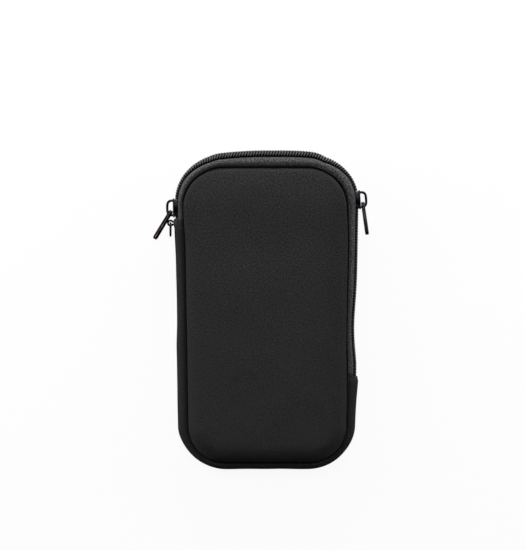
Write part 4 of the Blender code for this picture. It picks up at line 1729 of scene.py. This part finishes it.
    def slider_frame(self, hand: Hand) -> Matrix:
        """Find a slider's frame: X out of the sleeve, Y towards the mouth.

        Args:
            hand: Which slider.

        Returns:
            The frame, with its origin on the seam line at the zip's middle height.
        """
        distance = self.left_slider if hand is Hand.LEFT else self.right_slider
        before, middle, after = (
            self.line.at(distance + step * self.slider / 2)[0] for step in (-1, 0, 1)
        )
        along = (after - before).normalized()
        out = Vector((-along.y, along.x))
        origin = middle.lerp(before.lerp(after, 0.5), 0.5) - out * self.chain_reach
        along = along.to_3d() if hand is Hand.LEFT else -along.to_3d()
        out = out.to_3d()
        axes = Matrix((out, along, out.cross(along))).transposed().to_4x4()
        return Matrix.Translation(origin.to_3d() + Vector((0, 0, SHAPE.middle))) @ axes

    def build(self) -> None:
        """Make both halves of the zip."""
        for side in Side:
            for make in (self.strip, self.ribbon, self.coil, self.core, self.stitching):
                make(side)


@dataclass
class Band:
    """The knitted band round the bottom, between the zip's two ends."""

    side_bulge: float = 0.005
    bottom_bulge: float = 0.0034
    thickness: float = 0.0026
    roundness: float = 0.75
    shoulder: float = 0.0011
    left_shoulder: float = 0.0005
    shoulder_fade: float = 0.015
    left_fullness: float = 0.0004
    spacing: float = 0.001
    across: int = 20
    left_fade: float = 0.021
    uneven: float = 0.00022
    uneven_size: float = 0.013
    dive: float = 0.0013
    dive_reach: float = 0.002
    dive_power: float = 1.5
    pinch: float = 0.00014
    pinch_size: float = 0.004
    lean_reach: float = 0.004

    def build(self, zipper: Zip) -> None:
        """Make the band.

        Args:
            zipper: The zip, whose ends the band meets.
        """
        seam = zipper.seam
        total = seam.starts[-1]
        right = seam.height_on(RIGHT_SIDE, zipper.right_end_y - SHAPE.gap) - total
        left = seam.height_on(LEFT_SIDE, zipper.left_end_y - SHAPE.gap)
        spots = np.linspace(right, left, int((left - right) / self.spacing))
        rows, shares = [], []
        angles = np.linspace(0, math.pi, self.across + 1)
        full = np.sin(angles) ** self.roundness
        full[0] = full[-1] = 0
        level = (1 - np.cos(angles)) / 2
        for spot in spots:
            point, outward = seam.at(spot % total)
            bulge = blend(self.side_bulge, self.bottom_bulge, smooth(-outward.y))
            if point.x < 0:
                bulge += self.left_shoulder * math.exp(-(((left - spot) / self.shoulder_fade) ** 2))
                low = smooth(-point.y / self.left_fade)
                bulge += self.left_fullness * smooth(1 + outward.y * 2) * low
            else:
                bulge += self.shoulder * math.exp(-((spot - right) / self.shoulder_fade) ** 2)
            bulge += self.uneven * ripple(point, self.uneven_size, Seed.BAND_FULLNESS)
            top = SHAPE.seam_height(point.y)
            reach = SHAPE.gap / 2 + (bulge - SHAPE.gap / 2) * full
            heights = SHAPE.back_lift + (top - SHAPE.back_lift) * level
            dive = self.dive * np.clip(1 - reach / self.dive_reach, 0, 1) ** self.dive_power
            heights = heights + np.where(level > 0.5, -dive, dive)
            pinch = self.pinch * ripple(Vector((spot, 0)), self.pinch_size, Seed.BAND_PINCH)
            near = np.clip(1 - reach / self.lean_reach, 0, 1)
            heights = heights + pinch * np.where(level > 0.5, 1, -1) * near
            inner = SHAPE.gap / 2 + (bulge - self.thickness - SHAPE.gap / 2) * full[::-1]
            low, high = SHAPE.panel, top - SHAPE.panel
            inner_heights = low + (high - low) * level[::-1]
            reach = np.concatenate([reach, inner])
            heights = np.concatenate([heights, inner_heights])
            flat = np.array(point)[None] + np.array(outward)[None] * reach[:, None]
            rows.append(np.concatenate([flat, heights[:, None]], 1))
            shares.append(np.clip(1 - reach / self.lean_reach, 0, 1))
        rows = SHAPE.leaned(np.array(rows), np.array(shares))
        draft = MeshDraft()
        draft.grid(rows[:, ::-1], close_columns=True, caps=True)
        draft.piece("bottom_band", BAND, nodes=("side_gusset",), weld=True)


@dataclass
class Seams:
    """The cord in each seam's groove and the flat binding behind it."""

    width: float = 0.0029
    thickness: float = 0.0009
    cord: float = 0.0014
    cord_flat: float = 0.3
    counts: tuple[int, ...] = (10, 14, 60, 16, 20, 16, 60, 14, 10)
    cord_depth: float = 0.0019
    squareness: float = 0.5
    sides: int = 12

    def binding(self, side: Side) -> None:
        """Make the soft folded tape inside a seam.

        Args:
            side: The front or the back seam.
        """
        draft = MeshDraft()
        rows = []
        turn = np.arange(self.sides) * math.tau / self.sides
        wide = squarish(np.cos(turn), self.squareness) * self.width / 2
        tall = squarish(np.sin(turn), self.squareness) * self.thickness / 2
        for point, outward in SHAPE.route().ring(self.counts):
            if side is Side.FRONT:
                low = SHAPE.seam_height(point.y) - SHAPE.panel - SHAPE.gap - self.thickness
            else:
                low = SHAPE.panel + SHAPE.gap
            centre = point - outward * (SHAPE.gap + self.width / 2)
            flat = np.array(centre)[None] + np.array(outward)[None] * wide[:, None]
            rows.append(np.concatenate([flat, (low + self.thickness / 2 + tall)[:, None]], 1))
        draft.grid(SHAPE.leaned(np.array(rows))[:, ::-1], close_rows=True, close_columns=True)
        draft.piece(f"seam_binding_{side.word}", BINDING, nodes=(f"binding_{side.word}",))

    def groove(self, side: Side) -> None:
        """Make the dark flat cord at the bottom of a seam's groove: painted groove shade.

        Args:
            side: The front or the back seam.
        """
        path = []
        for point, _ in SHAPE.route().ring(self.counts):
            front = SHAPE.seam_height(point.y) - self.cord_depth
            back = SHAPE.back_lift + self.cord_depth
            path.append((point.x, point.y, front if side is Side.FRONT else back))
        line = SHAPE.leaned(np.array(path))
        draft = MeshDraft()
        draft.tube(line, self.cord, self.sides, flatten=self.cord_flat, closed=True)
        draft.piece(f"seam_cord_{side.word}", CORD)

    def build(self) -> None:
        """Make the bindings and the cords."""
        for side in Side:
            self.binding(side)
            self.groove(side)


MOST_ROUNDING = 0.49  # of an outline's edge, so that two roundings never meet


def rounded_outline(corners: Sequence[Pair], radius: float, steps: int = 6) -> Array:
    """Round the corners of a flat outline.

    Args:
        corners: The outline's corners in order.
        radius: How far from each corner the rounding starts.
        steps: How many points each rounding gets.

    Returns:
        The outline's points.
    """
    spots = [np.array(corner, float) for corner in corners]
    found = []
    for k, corner in enumerate(spots):
        first, last = (
            corner + way / np.linalg.norm(way) * min(radius, np.linalg.norm(way) * MOST_ROUNDING)
            for way in (spots[k - 1] - corner, spots[(k + 1) % len(spots)] - corner)
        )
        for step in range(steps + 1):
            s = step / steps
            found.append(first * (1 - s) ** 2 + corner * 2 * s * (1 - s) + last * s * s)
    return np.array(found)


EDGE_ON = Matrix(((0, 0, 1, 0), (0, 1, 0, 0), (-1, 0, 0, 0), (0, 0, 0, 1)))


@dataclass
class SliderUnit:
    """One slider with its bridge and its pull, in the frame of its place on the chain."""

    hand: Hand
    pull_angle: float
    pull_twist: float
    pull_finish: Metal
    play: float = 0.0004
    plate: float = 0.0008
    flange: float = 0.0007
    inner_half: float = 0.0034
    post_half: float = 0.0009
    post_length: float = 0.0032
    post_end: float = 0.0006
    bridge_length: float = 0.0088
    bridge_height: float = 0.0036
    bridge_wire: float = 0.0013
    bridge_width: float = 0.002
    pull_length: float = 0.0163
    pull_width: float = 0.0044
    pull_thickness: float = 0.0016
    pull_neck: float = 0.0036
    eye_half: float = 0.00135
    eye_end: float = 0.0048
    hole: float = 0.0008
    hole_inset: float = 0.0022
    pull_place: float = 0.002
    plate_bevel: float = 0.00026
    outer_round: float = 0.0008
    inner_round: float = 0.0012
    taper: Pair = (0.7, 0.9)
    nose: float = 0.93
    side_points: int = 9
    body_steps: int = 3
    post_slope: float = 1.4
    post_round: float = 0.0004
    post_bevel: float = 0.0001
    overlap: float = 0.0004
    flange_overlap: float = 0.0003
    flange_trim: float = 0.0004
    flange_fade: float = 0.0005
    flange_least: float = 0.55
    flange_square: float = 0.45
    flange_sides: int = 16
    flange_rings: int = 14
    bridge_square: float = 0.62
    bridge_steps: int = 27
    bridge_sides: int = 14
    bridge_sink: float = 0.0002
    pull_wide_from: float = 0.55
    pull_neck_end: float = 0.003
    pull_round: float = 0.0018
    pull_bevel: float = 0.00042
    pull_steps: int = 7
    eye_start: float = 0.0005
    eye_round: float = 0.0007
    eye_steps: int = 4
    hole_steps: int = 20

    def prepare(self, zipper: Zip) -> None:
        """Take the frame and the heights from the zip.

        Args:
            zipper: The zip that the slider runs on.
        """
        self.frame = zipper.slider_frame(self.hand)
        self.half = zipper.slider / 2
        self.plate_low = zipper.chain_reach + self.play
        self.plate_top = self.plate_low + self.plate
        self.tape_reach = zipper.chain_reach - zipper.coil_height - zipper.gap - zipper.tape / 2
        self.narrow = zipper.gap / 2 + zipper.coil_width + self.play + self.flange
        self.wide = self.narrow + self.post_half + zipper.gap
        self.tape_half = zipper.tape / 2

    def half_width(self, y: float) -> float:
        """Half the outer plate's width at a place along it."""
        start, length = self.taper
        return blend(self.narrow, self.wide, smooth((y + self.half * start) / (self.half * length)))

    def body(self) -> None:
        """Make the outer plate with its flanges, the inner plate and the post between them."""
        ys = np.linspace(-self.half, self.half, self.side_points)
        side = [(self.half_width(y), y) for y in ys]
        outline = side + [(0.0, self.half * self.nose)] + [(-x, y) for x, y in side[::-1]]
        edge = self.inner_half
        inner = ((-edge, -self.half), (edge, -self.half), (edge, self.half), (-edge, self.half))
        front = self.half - self.post_end
        back, post = front - self.post_length, self.post_half
        slope = back + post * self.post_slope
        wedge = ((0, back), (post, slope), (post, front), (-post, front), (-post, slope))
        level = self.tape_reach - self.tape_half - self.play - self.plate / 2
        draft = self.slab(
            rounded_outline(outline, self.outer_round, self.body_steps), self.plate,
            self.plate_bevel, self.plate_low + self.plate / 2,
        )
        for way in (-1, 1):
            draft.absorb(self.flange_on(way))
        draft.absorb(
            self.slab(rounded_outline(inner, self.inner_round), self.plate, self.plate_bevel, level)
        )
        tall = self.plate_low - level + self.overlap
        post_outline = rounded_outline(wedge, self.post_round, self.body_steps)
        draft.absorb(self.slab(post_outline, tall, self.post_bevel, (self.plate_low + level) / 2))
        draft.place(self.frame)
        self.mount(draft, "slider_body", SLIDER, "slider", "slider")

    def slab(self, outline: Array, thick: float, bevel: float, level: float) -> MeshDraft:
        """Stand a plate on edge, facing out of the sleeve.

        Args:
            outline: The plate's outline.
            thick: Its thickness.
            bevel: The rounding of its edges.
            level: How far out its middle is.

        Returns:
            A draft with the plate.
        """
        draft = MeshDraft()
        draft.plate([outline], thick, bevel)
        draft.place(Matrix.Translation((level, 0, 0)) @ EDGE_ON)
        return draft

    def flange_on(self, way: int) -> MeshDraft:
        """Make the flange along one side of the outer plate.

        Args:
            way: 1 for the side above the chain's middle, -1 for the side below.

        Returns:
            A draft with the flange.
        """
        low = self.tape_reach + self.tape_half + self.play
        tall = self.plate_low + self.flange_overlap - low
        turn = (np.arange(self.flange_sides) + 0.5) * math.tau / self.flange_sides
        reach = self.half - self.flange_trim
        rows = []
        for y in np.linspace(-reach, reach, self.flange_rings):
            across = self.half_width(y) - self.flange / 2
            end = min((reach - abs(y)) / self.flange_fade, 1.0)
            size = blend(self.flange_least, 1.0, math.sqrt(max(end, 0.0)))
            x = squarish(np.cos(turn), self.flange_square) * tall / 2 * size
            z = squarish(np.sin(turn), self.flange_square) * self.flange / 2 * size
            rows.append(np.stack([low + tall / 2 + x, np.full_like(x, y), way * across + z], -1))
        draft = MeshDraft()
        draft.grid(np.array(rows)[:, ::-1], close_columns=True, caps=True)
        return draft

    def bridge(self) -> None:
        """Bend the D-shaped bridge that the pull hangs on."""
        wire = self.bridge_wire / 2
        half = self.bridge_length / 2 - wire
        rise = self.bridge_height - wire
        angle = np.linspace(-math.pi / 2, math.pi / 2, self.bridge_steps)
        y = squarish(np.sin(angle), self.bridge_square) * half
        x = self.plate_top + np.abs(np.cos(angle)) ** self.bridge_square * rise
        path = np.stack([x, y, np.zeros_like(x)], -1)
        foot = path[[0, -1]].copy()
        foot[:, 0] = self.plate_top - self.bridge_sink
        path = np.concatenate([foot[:1], path, foot[1:]], 0)
        draft = MeshDraft()
        draft.tube(path, wire, self.bridge_sides, flatten=self.bridge_width / self.bridge_wire)
        draft.place(self.frame)
        self.mount(draft, "slider_bridge", WIRE, "slider", "bridge")

    def pull(self) -> None:
        """Cut the flat pull, with its eye round the bridge and a hole near its end."""
        neck, wide, long = self.pull_neck / 2, self.pull_width / 2, self.pull_length
        shoulder, throat = -long * self.pull_wide_from, -self.pull_neck_end
        top = self.pull_thickness / 2
        corners = (
            (-wide, -long), (wide, -long), (wide, shoulder), (neck, throat),
            (neck, top), (-neck, top), (-neck, throat), (-wide, shoulder),
        )
        eye, low, high = self.eye_half, -self.eye_end, -self.eye_start
        eye_corners = ((eye, high), (eye, low), (-eye, low), (-eye, high))
        turn = -np.arange(self.hole_steps) * math.tau / self.hole_steps
        hole = np.stack([np.cos(turn), np.sin(turn)], -1) * self.hole
        hole[:, 1] += self.hole_inset - long
        loops = [
            rounded_outline(corners, self.pull_round, self.pull_steps),
            rounded_outline(eye_corners, self.eye_round, self.eye_steps)[::-1], hole,
        ]
        draft = MeshDraft()
        draft.plate(loops, self.pull_thickness, self.pull_bevel)
        upward = self.frame.col[1]
        lean = math.atan2(upward.x if self.hand is Hand.LEFT else -upward.x, upward.y)
        reach = self.plate_top + (self.bridge_height - self.bridge_wire) / 2
        pivot = Matrix.Translation((reach, -self.pull_place, 0))
        tilt = Matrix.Rotation(self.pull_angle - lean, 4, "Z")
        twist = Matrix.Rotation(math.pi / 2 + self.pull_twist, 4, "Y")
        draft.place(self.frame @ pivot @ tilt @ twist)
        self.mount(draft, "pull_tab", self.pull_finish, "pull", "pull")

    def build(self, zipper: Zip) -> None:
        """Make the slider, its bridge and its pull.

        Args:
            zipper: The zip that the slider runs on.
        """
        self.prepare(zipper)
        self.body()
        self.bridge()
        self.pull()

    def mount(self, draft: MeshDraft, name: str, finish: Finish, body: str, node: str) -> None:
        """Make one of this slider's pieces."""
        word = self.hand.value
        draft.piece(f"{name}_{word}", finish, f"{word}_{body}", (f"{node}_{word}",))


@dataclass
class EndTab:
    """The fabric tab over one end of the chain, with the stitches that hold it."""

    name: str
    node: str
    hand: Hand
    low_y: float
    high_y: float
    reach: float
    finish: Fabric
    stitches: tuple[Pair, ...]
    across: int = 24
    sink: float = 0.0007
    thickness: float = 0.0006
    squareness: float = 0.62
    stand: float = 0.00045
    least: float = 0.93
    waist: float = 0.0006
    waist_least: float = 0.3
    lean_reach: float = 0.004
    rings: int = 9
    end_angle: float = 0.15
    swell_power: float = 0.5
    stitch_ends: Pair = (0.08, 0.92)
    stitch_lift: Sizes = (0.0, 0.55, 0.8, 0.55, 0.0)
    thread_sides: int = 6
    edge_share: float = 0.3

    def cut(self, zipper: Zip, y: float, swell: float) -> Array:
        """One section of the tab, round the side of the sleeve.

        Args:
            zipper: The zip that the tab ends.
            y: Where the section lies.
            swell: How full the tab is there, from 0 to 1.

        Returns:
            A closed ring of points.
        """
        run = LEFT_SIDE if self.hand is Hand.LEFT else RIGHT_SIDE
        point, outward = zipper.seam.at(zipper.seam.height_on(run, y))
        top = SHAPE.seam_height(point.y) - self.sink
        low = SHAPE.back_lift + self.sink
        angle = np.linspace(0, math.pi, self.across)
        rings = []
        for trim in (0.0, self.thickness):
            full = np.sin(angle) ** self.squareness
            full[[0, -1]] = 0
            reach = self.reach * blend(self.least, 1.0, swell) - trim - self.stand
            out = self.stand + reach * full
            level = (1 - np.cos(angle)) / 2
            edge = trim * self.edge_share
            height = low + edge + (top - low - edge * 2) * level
            waist = self.waist * blend(self.waist_least, 1.0, swell)
            height = height + waist * np.sin(math.pi * level * 2) * -full
            flat = np.array(point)[None] + np.array(outward)[None] * out[:, None]
            rings.append(np.concatenate([flat, height[:, None]], 1))
        ring = np.concatenate([rings[0], rings[1][::-1]], 0)
        share = np.clip(1 - np.concatenate([out, out[::-1]]) / self.lean_reach, 0, 1)
        return SHAPE.leaned(ring, share)

    def build(self, zipper: Zip) -> None:
        """Make the tab and its stitches.

        Args:
            zipper: The zip that the tab ends.
        """
        ys = np.linspace(self.low_y, self.high_y, self.rings)
        swells = np.sin(np.linspace(self.end_angle, math.pi - self.end_angle, self.rings))
        swells = swells**self.swell_power
        rows = np.array([self.cut(zipper, y, swell) for y, swell in zip(ys, swells)])
        draft = MeshDraft()
        rows = rows if self.hand is Hand.RIGHT else rows[:, ::-1]
        draft.grid(rows, close_columns=True, caps=True)
        draft.piece(self.name, self.finish, weld=True)
        thread = MeshDraft()
        for y, size in self.stitches:
            self.sew(thread, self.cut(zipper, y, 1.0)[: self.across], size)
        thread.piece(self.name + "_stitches", THREAD, nodes=(self.node,))

    def sew(self, thread: MeshDraft, ring: Array, size: float) -> None:
        """Sew a row of stitches round the tab.

        Args:
            thread: The draft that takes them.
            ring: The tab's outer section there.
            size: How far the thread stands out.
        """
        lift = np.array(self.stitch_lift)[:, None] * size
        share = np.linspace(*self.stitch_ends, len(lift))[:, None]
        for k in range(2, self.across - 3, 2):
            first, last = ring[k], ring[k + 1]
            normal = (first + last) / 2 - ring.mean(0)
            normal[1] = 0
            normal /= np.linalg.norm(normal)
            path = first + (last - first) * share + normal * lift
            thread.tube(path, size / 2, self.thread_sides, (0, 1, 0), tapered=True)


@dataclass
class Keeper:
    """The ribbon loop at the zip's left end and the wire ring that hangs in it."""

    width: float = 0.0024
    ribbon: float = 0.001
    hole: float = 0.0008
    rise: float = 0.0019
    stand_off: float = 0.0026
    ring_radius: float = 0.0033
    wire: float = 0.0005
    root_extra: float = 0.0006
    loop_steps: int = 30
    leg_steps: int = 4
    ribbon_sides: int = 16
    ring_steps: int = 48
    wire_sides: int = 12

    def centre(self, zipper: Zip) -> Vector:
        """Find the centre of the loop's hole.

        Args:
            zipper: The zip at whose left end the loop is.

        Returns:
            The point.
        """
        point, outward = zipper.line.at(zipper.start)
        edge = point - outward * (zipper.seam.inward_gap(point, outward) - zipper.chain_reach)
        return Vector((edge.x - self.stand_off, zipper.left_end_y + self.rise, SHAPE.middle))

    def build(self, zipper: Zip) -> None:
        """Make the loop and the ring.

        Args:
            zipper: The zip at whose left end the loop is sewn in.
        """
        centre = self.centre(zipper)
        radius = self.hole + self.ribbon / 2
        leg = self.ribbon / 2 + SHAPE.gap / 2
        first = math.asin(leg / radius)
        turn = np.linspace(first, math.tau - first, self.loop_steps)
        line = np.stack([np.cos(turn), np.sin(turn)], -1) * radius
        legs = np.linspace(self.stand_off + self.root_extra, line[0, 0], self.leg_steps + 1)[:-1]
        upper = np.stack([legs, np.full_like(legs, leg)], -1)
        line = np.concatenate([upper, line, upper[::-1] * (1, -1)], 0)
        path = np.concatenate([line, np.zeros((len(line), 1))], 1) + np.array(centre)
        draft = MeshDraft()
        flatten = self.width / self.ribbon
        draft.tube(path, self.ribbon / 2, self.ribbon_sides, flatten=flatten)
        draft.piece("keeper_loop", TAPE, nodes=("strap_loop",))
        around = np.arange(self.ring_steps) * math.tau / self.ring_steps
        circle = np.stack([np.zeros_like(around), np.cos(around), np.sin(around)], -1)
        path = circle * self.ring_radius + np.array(centre) - np.array((0, self.ring_radius, 0))
        draft = MeshDraft()
        draft.tube(path, self.wire, self.wire_sides, (1, 0, 0), closed=True)
        draft.piece("keeper_ring", WIRE, "ring", ("strap_ring",))


@dataclass(frozen=True)
class SoftBox:
    """A soft box lamp that points at the sleeve: its place, its two sizes and its watts."""

    name: str
    place: tuple[float, float, float]
    wide: float
    tall: float
    power: float
    aim: tuple[float, float, float] = (0.0, 0.0, 0.01)

    def hang(self) -> None:
        """Add the lamp."""
        light = bpy.data.lights.new(self.name, "AREA")
        light.shape = "RECTANGLE"
        light.size, light.size_y = self.wide, self.tall
        light.energy = self.power
        item = bpy.data.objects.new(self.name, light)
        item.location = self.place
        away = Vector(self.aim) - Vector(self.place)
        item.rotation_euler = away.to_track_quat("-Z", "Y").to_euler()
        bpy.context.scene.collection.objects.link(item)


@dataclass
class Studio:
    """The floor, the soft lamps, the world and the camera."""

    centre: Pair = (-0.0022, 0.0178)
    height: float = 2.0
    frame_height: float = 0.28325
    sensor: float = 0.036
    floor_half: float = 3.0
    shadow_share: float = 0.07
    floor_drop: float = 0.00005
    floor_steps: int = 9
    floor_tones: Pair = (0.18, 0.85)
    world_tone: Colour = (0.04, 0.04, 0.042)
    framed_height: float = 0.008
    clip: Pair = (0.05, 20.0)
    lamps: tuple[SoftBox, ...] = (
        SoftBox("TopKey", (0.0, 0.85, 0.175), 0.7, 0.2, 12.0),
        SoftBox("LeftSoft", (-0.76, 0.3, 0.2), 0.5, 0.24, 6.2),
        SoftBox("RightSoft", (0.76, 0.3, 0.2), 0.5, 0.24, 4.0),
        SoftBox("CameraFill", (0.0, 0.55, 1.35), 0.6, 0.6, 8.5),
    )

    def floor(self) -> None:
        """Lay the pale floor, which keeps a soft shadow."""
        draft = MeshDraft()
        line = np.linspace(-self.floor_half, self.floor_half, self.floor_steps)
        x, y = np.meshgrid(line, line, indexing="ij")
        draft.grid(np.stack([x, y, np.full_like(x, -self.floor_drop)], -1), flat_map=True)
        made = bpy.data.materials.new("StudioFloor")
        made.use_nodes = True
        made.node_tree.nodes.clear()
        sheet = NodeSheet(made.node_tree)
        lit = sheet.add("ShaderNodeBsdfDiffuse")
        glow = sheet.add("ShaderNodeEmission")
        path = sheet.add("ShaderNodeLightPath")
        seen = sheet.math("MAXIMUM", path.outputs["Is Camera Ray"], path.outputs["Is Glossy Ray"])
        seen = sheet.math("MAXIMUM", seen, path.outputs["Is Transmission Ray"])
        tones = [rgba((tone,) * 3) for tone in self.floor_tones]
        sheet.feed(lit.inputs[0], sheet.mix(seen, *tones))
        mixed = sheet.add("ShaderNodeMixShader")
        sheet.feed(mixed.inputs[0], sheet.math("MULTIPLY", seen, 1 - self.shadow_share))
        sheet.feed(mixed.inputs[1], lit.outputs[0])
        sheet.feed(mixed.inputs[2], glow.outputs[0])
        output = sheet.add("ShaderNodeOutputMaterial")
        sheet.feed(output.inputs[0], mixed.outputs[0])
        item = draft.make("studio_floor", NEOPRENE)
        item.data.materials[0] = made

    def world(self) -> None:
        """Fill the world with pale light, white where the camera sees it."""
        world = bpy.data.worlds.new("StudioWorld")
        world.use_nodes = True
        world.node_tree.nodes.clear()
        sheet = NodeSheet(world.node_tree)
        path = sheet.add("ShaderNodeLightPath")
        direct, through = path.outputs["Is Camera Ray"], path.outputs["Is Transmission Ray"]
        seen = sheet.math("MAXIMUM", direct, through)
        back = sheet.add("ShaderNodeBackground")
        sheet.feed(back.inputs[0], sheet.mix(seen, rgba(self.world_tone), rgba((1, 1, 1))))
        output = sheet.add("ShaderNodeOutputWorld")
        sheet.feed(output.inputs[0], back.outputs[0])
        bpy.context.scene.world = world

    def camera(self) -> None:
        """Look straight down at the front panel from two metres."""
        lens = bpy.data.cameras.new("StudioCamera")
        lens.lens = self.sensor * 1000 * (self.height - self.framed_height) / self.frame_height
        lens.sensor_width = self.sensor * 1000
        lens.clip_start, lens.clip_end = self.clip
        item = bpy.data.objects.new("StudioCamera", lens)
        item.location = (*self.centre, self.height)
        bpy.context.scene.collection.objects.link(item)
        bpy.context.scene.camera = item

    def build(self) -> None:
        """Set up the whole studio."""
        self.floor()
        for lamp in self.lamps:
            lamp.hang()
        self.world()
        self.camera()
        bpy.context.scene.view_settings.view_transform = "Standard"


def main() -> None:
    """Build every sub-assembly in order."""
    logging.basicConfig(level=logging.INFO, format="%(name)s %(message)s")
    Panels().build()
    zipper = Zip()
    zipper.build()
    Band().build(zipper)
    Seams().build()
    SliderUnit(
        Hand.LEFT, pull_angle=math.radians(31), pull_twist=math.radians(17), pull_finish=PULL
    ).build(zipper)
    SliderUnit(
        Hand.RIGHT, pull_angle=math.radians(8), pull_twist=math.radians(5), pull_finish=GREY_PULL
    ).build(zipper)
    EndTab(
        name="end_tab_left", node="bartack_left", hand=Hand.LEFT, low_y=0.0424, high_y=0.0468,
        reach=0.0059, finish=TAB, stitches=((0.0433, 0.0002),),
    ).build(zipper)
    EndTab(
        name="end_tab_right", node="bartack_right", hand=Hand.RIGHT, low_y=-0.0368, high_y=-0.0342,
        reach=0.0058, finish=TAB, stitches=((-0.0359, 0.0002),),
    ).build(zipper)
    Keeper().build(zipper)
    Studio().build()


if __name__ == "__main__":
    main()
